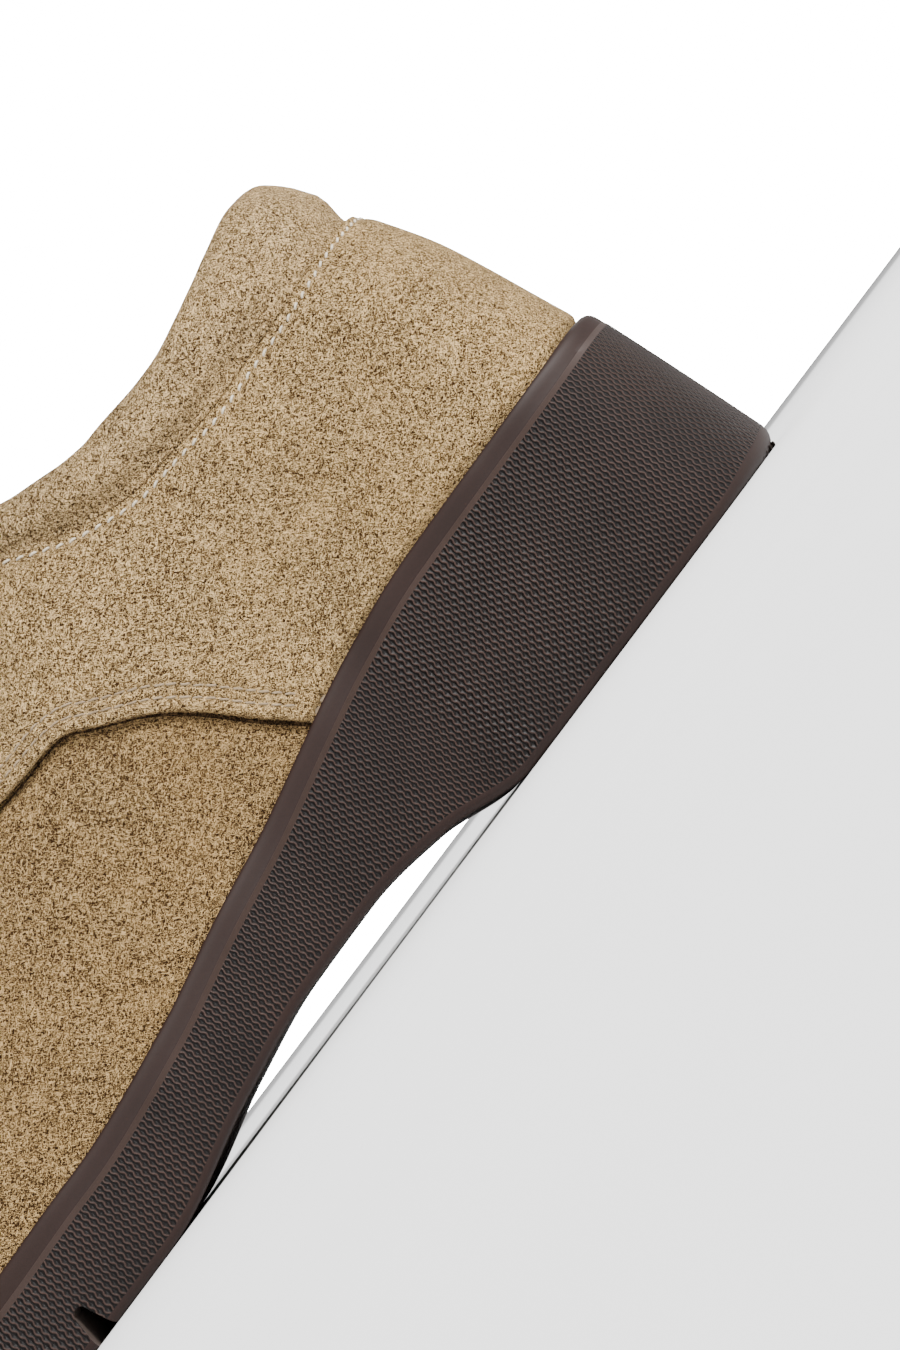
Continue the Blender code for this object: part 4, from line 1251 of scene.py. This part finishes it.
def build_collar():
    """Padded band: a valley above the seam stitching, then a soft roll over the topline."""
    last = float(station_of(COLLAR_END))
    count, sides = COLLAR_STATIONS, COLLAR_SIDES
    half = last * (1 - (1 - np.linspace(0.0, 1.0, count)) ** 1.25)
    station = np.concatenate([half[::-1], half[1:]])
    side = np.concatenate([np.full(count, OUTER), np.full(count - 1, INNER)])
    seam = upper_top(station)
    outer_side = (side == OUTER)[:, None]
    low = np.where(outer_side, upper_point(station, OUTER, seam), upper_point(station, INNER, seam))
    top = np.where(outer_side, upper_point(station, OUTER, 1.0), upper_point(station, INNER, 1.0))
    middle = (1 + seam) / 2
    normal = np.where(
        outer_side, upper_normal(station, OUTER, middle), upper_normal(station, INNER, middle)
    )
    rise = top - low
    height = np.linalg.norm(rise, axis=1)
    rise = unit(rise)
    pad = interpolate(TOP_ROWS, "pad", along_of(station)) * COLLAR_THICKNESS
    centre = low + rise * ((height + CLEARANCE) / 2)[:, None]
    centre = centre + normal * (QUARTER_STEP - pad / 2)[:, None]
    to_end = np.clip(1 - (COLLAR_END - along_of(station)) * LENGTH / COLLAR_END_ROUND, 0.0, 1.0)
    end_round = np.sqrt(1 - COLLAR_END_FALL * to_end ** 2)
    half_height = (height / 2 - CLEARANCE / 2) * end_round
    pad = pad * end_round
    points = []
    for k in range(sides):
        angle = 2 * math.pi * (k + 0.5) / sides
        across = math.copysign(abs(math.cos(angle)) ** 0.5, math.cos(angle))
        over = math.copysign(abs(math.sin(angle)) ** 0.6, math.sin(angle))
        shape = 0.0
        if across > 0:
            shape = COLLAR_SWELL * max(0.0, 1 - (over - COLLAR_SWELL_PLACE) ** 2 / 0.9)
            shape -= COLLAR_VALLEY * bump_at(over, COLLAR_VALLEY_PLACE, COLLAR_VALLEY_WIDTH)
        place = centre + normal * (across * pad / 2 + shape)[:, None]
        place = place + rise * (over * half_height)[:, None]
        if across > 0:
            place = place + normal * layered_noise(place, RIPPLES)[:, None]
        points.append(place)
    points = np.array(points).transpose(1, 0, 2)
    rings = len(station)
    faces = grid_faces(rings, sides, closed=True)
    lined = [math.cos(2 * math.pi * (k + 1) / sides) < -0.5 for k in range(sides)]
    slots = [LINING_SLOT if inside else SUEDE_SLOT for inside in lined] * (rings - 1)
    faces += [list(range(sides))[::-1], [(rings - 1) * sides + k for k in range(sides)]]
    slots += [SUEDE_SLOT, SUEDE_SLOT]
    collar = new_piece("padded_collar", points.reshape(-1, 3), faces, (SUEDE_COLLAR, LINING), slots)
    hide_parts("collar")


def across_points(station, sideways):
    """Outside form of the shoe across the lacing gap, at distances from the ridge."""
    sideways = np.asarray(sideways, float)
    points = np.empty(sideways.shape + (3,))
    normals = np.empty_like(points)
    edge = {side: upper_point(station, side, 1.0) for side in (OUTER, INNER)}
    centre = (edge[OUTER][1] + edge[INNER][1]) / 2
    half = abs(edge[OUTER][1] - centre)
    shares = np.linspace(1.0, 0.3, 80)
    for side in (OUTER, INNER):
        here = (sideways >= 0) == (side == OUTER)
        reach = np.abs(upper_point(station, side, shares)[:, 1] - centre)
        up = np.interp(np.abs(sideways), np.maximum.accumulate(reach), shares)
        beyond = here & (np.abs(sideways) >= half)
        points[beyond] = upper_point(station, side, up[beyond])
        normals[beyond] = upper_normal(station, side, up[beyond])
        within = here & ~beyond
        share = sideways[within] / max(half, 1e-9)
        below = upper_point(station, side, 0.97)
        fall = (edge[side][2] - below[2]) / max(abs(below[1] - edge[side][1]), 1e-6)
        crown = edge[side][2] + fall * half * CROWN * (1 - share ** 2)
        edge_normal = upper_normal(station, side, 1.0)
        lean = edge_normal[0] / max(edge_normal[2], 0.2)
        points[within] = joined(edge[side][0], centre + sideways[within], crown)
        normals[within] = unit(joined(lean, share * fall, np.ones_like(share)))
    return points, normals


LACE_DENT = 0.0018
LACE_DENT_WIDTH = 0.0028
TONGUE_EDGE_SHARE = 0.35
INSOLE_EDGE_SHARE = 0.45
INSOLE_DISH = 0.0006


def build_tongue():
    """Padded tongue under the lacing gap, with a rounded top and dents where the lace crosses."""
    rows, columns, rise_rows = 44, 30, 16
    end = TONGUE_OVERLAP / LENGTH + THROAT_ALONG
    centre, ways = [], []
    for i in range(rows + 1):
        along = TONGUE_START + (end - TONGUE_START) * i / rows
        sideways = np.linspace(-1.0, 1.0, columns + 1) * TONGUE_HALF_WIDTH
        sideways = sideways * (1 - TONGUE_TAPER * i / rows)
        line, normals = across_points(float(station_of(along)), sideways)
        centre.append(line - normals * (WALL + TONGUE_GAP + TONGUE_THICKNESS / 2))
        ways.append(normals)
    centre, ways = np.array(centre), np.array(ways)
    middle = columns // 2
    way = unit(centre[0, middle] - centre[rows // 9, middle])
    above = []
    for step in range(rise_rows, 0, -1):
        share = step / rise_rows
        pull = TONGUE_PULL * share + (1 - TONGUE_PULL) * 0.5 * share ** 6
        place = centre[0] + (centre[0, middle] - centre[0]) * pull
        above.append(place + way * (TONGUE_RISE * share))
    centre = np.concatenate([np.array(above), centre])
    ways = np.concatenate([np.repeat(ways[:1], rise_rows, axis=0), ways])
    total = len(centre)
    v = np.linspace(-1.0, 1.0, columns + 1)[None, :]
    u = np.linspace(-1.0, 1.0, total)[:, None]
    rim = (1 - np.abs(v) ** 6) ** 0.5 * (1 - np.abs(u) ** 24) ** 0.5
    half = TONGUE_THICKNESS / 2 * (TONGUE_EDGE_SHARE + (1 - TONGUE_EDGE_SHARE) * rim)
    swell = half + 0.0002 * soft_noise(centre, 0.012, 4) * rim
    for first, second in lace_route()[1]:
        run = first + (second - first) * np.linspace(0.0, 1.0, 30)[:, None]
        swell = swell - LACE_DENT * bump_at(distance_to_line(centre, run), 0.0, LACE_DENT_WIDTH)
    upper_side = centre + ways * swell[..., None]
    lower_side = centre - ways * half[..., None]
    rims = {name: SUEDE_SLOT for name in ("low", "top", "first", "last")}
    points, faces, slots = sheet(upper_side, lower_side, rims)
    tongue = new_piece("padded_tongue", points, faces, (SUEDE, LINING), slots)
    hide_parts("tongue")


def build_insole():
    """Flat padded insole on the floor of the sole's cup, with soft edges and a shallow dish."""
    count, across = 120, 24
    stations = np.linspace(0.0, 1.0, count + 1)
    along = along_of(stations)
    inset = FEATHER_INSET + WALL + INSOLE_CLEARANCE
    floor = rand_height(along) - CUP_DEPTH + CLEARANCE
    outer = plan_point(stations, OUTER, inset, floor)
    inner = plan_point(stations, INNER, inset, floor)
    share = (1 - np.cos(np.linspace(0.0, math.pi, across + 1))) / 2
    base = outer[:, None] + (inner - outer)[:, None] * share[None, :, None]
    rim = 1 - np.abs(2 * share - 1) ** 8
    ends = 1 - np.abs(2 * stations - 1) ** 30
    full = np.sqrt(np.clip(ends[:, None] * rim[None, :], 0, 1))
    thickness = INSOLE_THICKNESS * (INSOLE_EDGE_SHARE + (1 - INSOLE_EDGE_SHARE) * full)
    dish = INSOLE_DISH * bump_at(2 * share - 1, 0.0, 0.6)[None, :] * smooth_step(ends, 0.2, 1.0)[:, None]
    top = base.copy()
    top[..., 2] += thickness - dish
    points, faces, _ = sheet(top, base, {"first": SUEDE_SLOT, "last": SUEDE_SLOT})
    insole = new_piece("padded_insole", points, faces, (LINING,))
    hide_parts("insole")


# Stitching
COLLAR_PITCH = 0.0025
EDGE_PITCH = 0.0023
THREAD_RADIUS = 0.00024
TONAL_RADIUS = THREAD_RADIUS * 0.85
COLLAR_LOOP = 0.0013
COLLAR_TURN = 0.35
EDGE_LOOP = 0.0017
EDGE_TURN = 0.12
COLLAR_SEAM = (0.0005, 0.392)
FACING_SEAM = (0.405, 0.560)
FACING_STITCH = 0.0026


def edge_offset(side, distance, low=0.03, high=0.985):
    """Line on the quarter at a distance behind its front edge."""
    share = np.linspace(low, high, 160)
    station = station_of(interpolate(EDGE_ROWS, "along", share))
    up = share * upper_top(station)
    line = upper_point(station, side, up)
    normal = upper_normal(station, side, up)
    way = unit(np.gradient(line, axis=0))
    behind = unit(np.cross(normal, way))
    back = upper_point(station - 0.02, side, up) - line
    behind = behind * np.sign((behind * back).sum(axis=1))[:, None]
    return line + behind * distance + normal * QUARTER_STEP


def top_offset(side, first, last, distance):
    """Line on the quarter at a distance below the collar seam or the lacing edge."""
    along = np.linspace(first, last, 160)
    station = station_of(along)
    top = upper_top(station)
    line = upper_point(station, side, top)
    below = unit(upper_point(station, side, top - 0.03) - line)
    return line + below * distance + upper_normal(station, side, top) * QUARTER_STEP


def build_stitches(quarters):
    """Light loops along the collar's seam, tonal ones along the quarters' edges."""
    tree = surface_tree(quarters)
    seam, edge = [], []
    for side in (OUTER, INNER):
        line = top_offset(side, *COLLAR_SEAM, SEAM_STITCH)
        seam.append(stitch_line(line, tree, COLLAR_PITCH, COLLAR_LOOP, THREAD_RADIUS, COLLAR_TURN * side))
        lines = [edge_offset(side, distance) for distance in STITCH_ROWS]
        for line in lines + [top_offset(side, *FACING_SEAM, FACING_STITCH)]:
            edge.append(stitch_line(line, tree, EDGE_PITCH, EDGE_LOOP, TONAL_RADIUS, EDGE_TURN))
    seam_thread = new_piece("collar_stitches", *joined_parts(seam), (THREAD,), weld=FINE_WELD)
    edge_thread = new_piece("quarter_stitches", *joined_parts(edge), (TONAL,), weld=FINE_WELD)


# Laces
LACE_ORDER = ((3, INNER, OUTER), (2, OUTER, INNER), (1, INNER, OUTER), (0, OUTER, INNER))
LACE_STEP = 0.00035
LACE_SAG = 0.0022
LACE_BESIDE = 0.0036
LACE_LEAN = 0.0024
LACE_PRESS = 0.92
LACE_SIDES = 24
BRAID_PITCH = 0.0016
BRAID_STRANDS = 6
BRAID_RELIEF = 0.05


def lace_route():
    """Centre line of the lace: straight bars and the runs under the facings between them.

    One end runs down under the inner facing first, so that both stop at the top eyelets.
    """
    lift = QUARTER_STEP + LACE_RADIUS + CLEARANCE
    drop = WALL + LACE_RADIUS + CLEARANCE
    places = eyelet_places()

    def hole(index, side, offset, toward=0.0):
        station, up = places[index]
        centre = upper_point(station, side, up)
        edge = unit(upper_point(station, side, 1.0) - centre)
        return centre + upper_normal(station, side, up) * offset + edge * toward

    route = [hole(index, INNER, -drop, -LACE_BESIDE) for index in (0, 1, 2)]
    hidden = list(zip(route, route[1:]))
    for index, first, second in LACE_ORDER:
        station, up = places[index]
        reach = upper_point(station, OUTER, up)[1] - upper_point(station, INNER, up)[1]
        gap = upper_point(station, OUTER, 1.0)[1] - upper_point(station, INNER, 1.0)[1]
        shares = np.linspace(-0.5, 0.5, 13)[2:-2] * (1 if second == OUTER else -1)
        line, normals = across_points(station, shares * reach)
        sag = LACE_SAG * np.clip(1 - (2 * shares * reach / gap) ** 2, 0.0, 1.0)
        stops = ((-drop, 0.0), (0.0, 0.0002), (lift * LACE_PRESS, LACE_LEAN))
        start = [hole(index, first, *stop) for stop in stops]
        end = [hole(index, second, *stop) for stop in stops[::-1]]
        hidden.append((route[-1], start[0]))
        route += start + list(line + normals * (lift - sag)[:, None]) + end
    return np.array(route), hidden


def braid(index, angle):
    """Radius of the cord's braided surface as a share of its own."""
    run = index * LACE_STEP / BRAID_PITCH * 2 * math.pi
    crossing = math.cos(BRAID_STRANDS * angle + run) * math.cos(BRAID_STRANDS * angle - run)
    return 1 - BRAID_RELIEF + BRAID_RELIEF * crossing


def build_lace():
    route, _ = lace_route()
    line = smooth_line(route, LACE_STEP)
    points, faces = tube(line, LACE_RADIUS, LACE_SIDES, cap=True, relief=braid)
    lace = new_piece("round_lace", points, faces, (CORD,), weld=FINE_WELD)
    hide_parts("lace_bar_1", "lace_bar_2", "lace_bar_3", "lace_bar_4")


# Floor, lights and camera
STUDIO_LIGHT = 0.62
BACKDROP_LIGHT = 24.0
FLOOR_REACH = 6.0

AreaLight = namedtuple("AreaLight", "name place target size power")
AREA_LIGHTS = (
    AreaLight("key", (-0.95, 0.60, 0.80), (-0.05, 0.0, 0.05), 0.40, 46.0),
    AreaLight("fill", (0.55, 0.85, 0.45), (0.0, 0.0, 0.04), 0.9, 9.0),
    AreaLight("back", (-0.2, -0.9, 0.7), (0.0, 0.0, 0.05), 0.8, 9.0),
)


def build_stage():
    mesh = bpy.data.meshes.new("floor")
    corners = [(x * FLOOR_REACH, y * FLOOR_REACH, 0) for x, y in ((-1, -1), (1, -1), (1, 1), (-1, 1))]
    mesh.from_pydata(corners, [], [(0, 1, 2, 3)])
    floor = linked("floor", mesh)
    material, tree, shader, place = new_material("pale_floor", 0.8, 0.2)
    grain = noise_of(tree, place, 40.0, 2.0)
    tree.links.new(
        ramp(tree, grain, ((0.0, (0.86, 0.86, 0.86)), (1.0, (0.90, 0.90, 0.90)))),
        shader.inputs["Base Color"],
    )
    mesh.materials.append(material)
    world = bpy.data.worlds.new("studio")
    bpy.context.scene.world = world
    world.use_nodes = True
    tree = world.node_tree
    seen = node(tree, "ShaderNodeLightPath").outputs["Is Camera Ray"]
    tree.nodes["Background"].inputs[0].default_value = (1.0, 1.0, 1.0, 1.0)
    strength = calc(tree, "MULTIPLY_ADD", seen, BACKDROP_LIGHT - STUDIO_LIGHT, STUDIO_LIGHT)
    tree.links.new(strength, tree.nodes["Background"].inputs[1])


def add_light(row):
    """Square area light of one row, turned to its target."""
    light = bpy.data.lights.new(row.name, "AREA")
    light.shape = "SQUARE"
    light.size = row.size
    light.energy = row.power
    lamp = linked(row.name, light)
    lamp.location = row.place
    lamp.rotation_mode = "QUATERNION"
    lamp.rotation_quaternion = (Vector(row.target) - Vector(row.place)).to_track_quat("-Z", "Y")


CAMERA_PLACE = Vector((-0.0318, 0.5121, 0.0040))
CAMERA_AIM = Vector((-0.0749, 0.0450, 0.0207))
CAMERA_ROLL = math.radians(53.0)
CAMERA_LENS = 74.67


def build_camera():
    data = bpy.data.cameras.new("camera")
    data.sensor_fit = "VERTICAL"
    data.sensor_height = 36.0
    data.sensor_width = 36.0
    data.lens = CAMERA_LENS
    data.clip_start = 0.01
    data.clip_end = 50.0
    camera = linked("camera", data)
    forward = (CAMERA_AIM - CAMERA_PLACE).normalized()
    level = forward.cross(Vector((0, 0, 1))).normalized()
    upright = level.cross(forward)
    up = upright * math.cos(CAMERA_ROLL) + level * math.sin(CAMERA_ROLL)
    right = forward.cross(up)
    camera.matrix_world = Matrix((
        (right.x, up.x, -forward.x, CAMERA_PLACE.x),
        (right.y, up.y, -forward.y, CAMERA_PLACE.y),
        (right.z, up.z, -forward.z, CAMERA_PLACE.z),
        (0, 0, 0, 1),
    ))
    bpy.context.scene.camera = camera


build_sole()
build_ribs()
QUARTERS = build_quarters()
build_vamp()
build_collar()
build_tongue()
build_insole()
build_stitches(QUARTERS)
build_lace()
build_stage()
for light_row in AREA_LIGHTS:
    add_light(light_row)
build_camera()
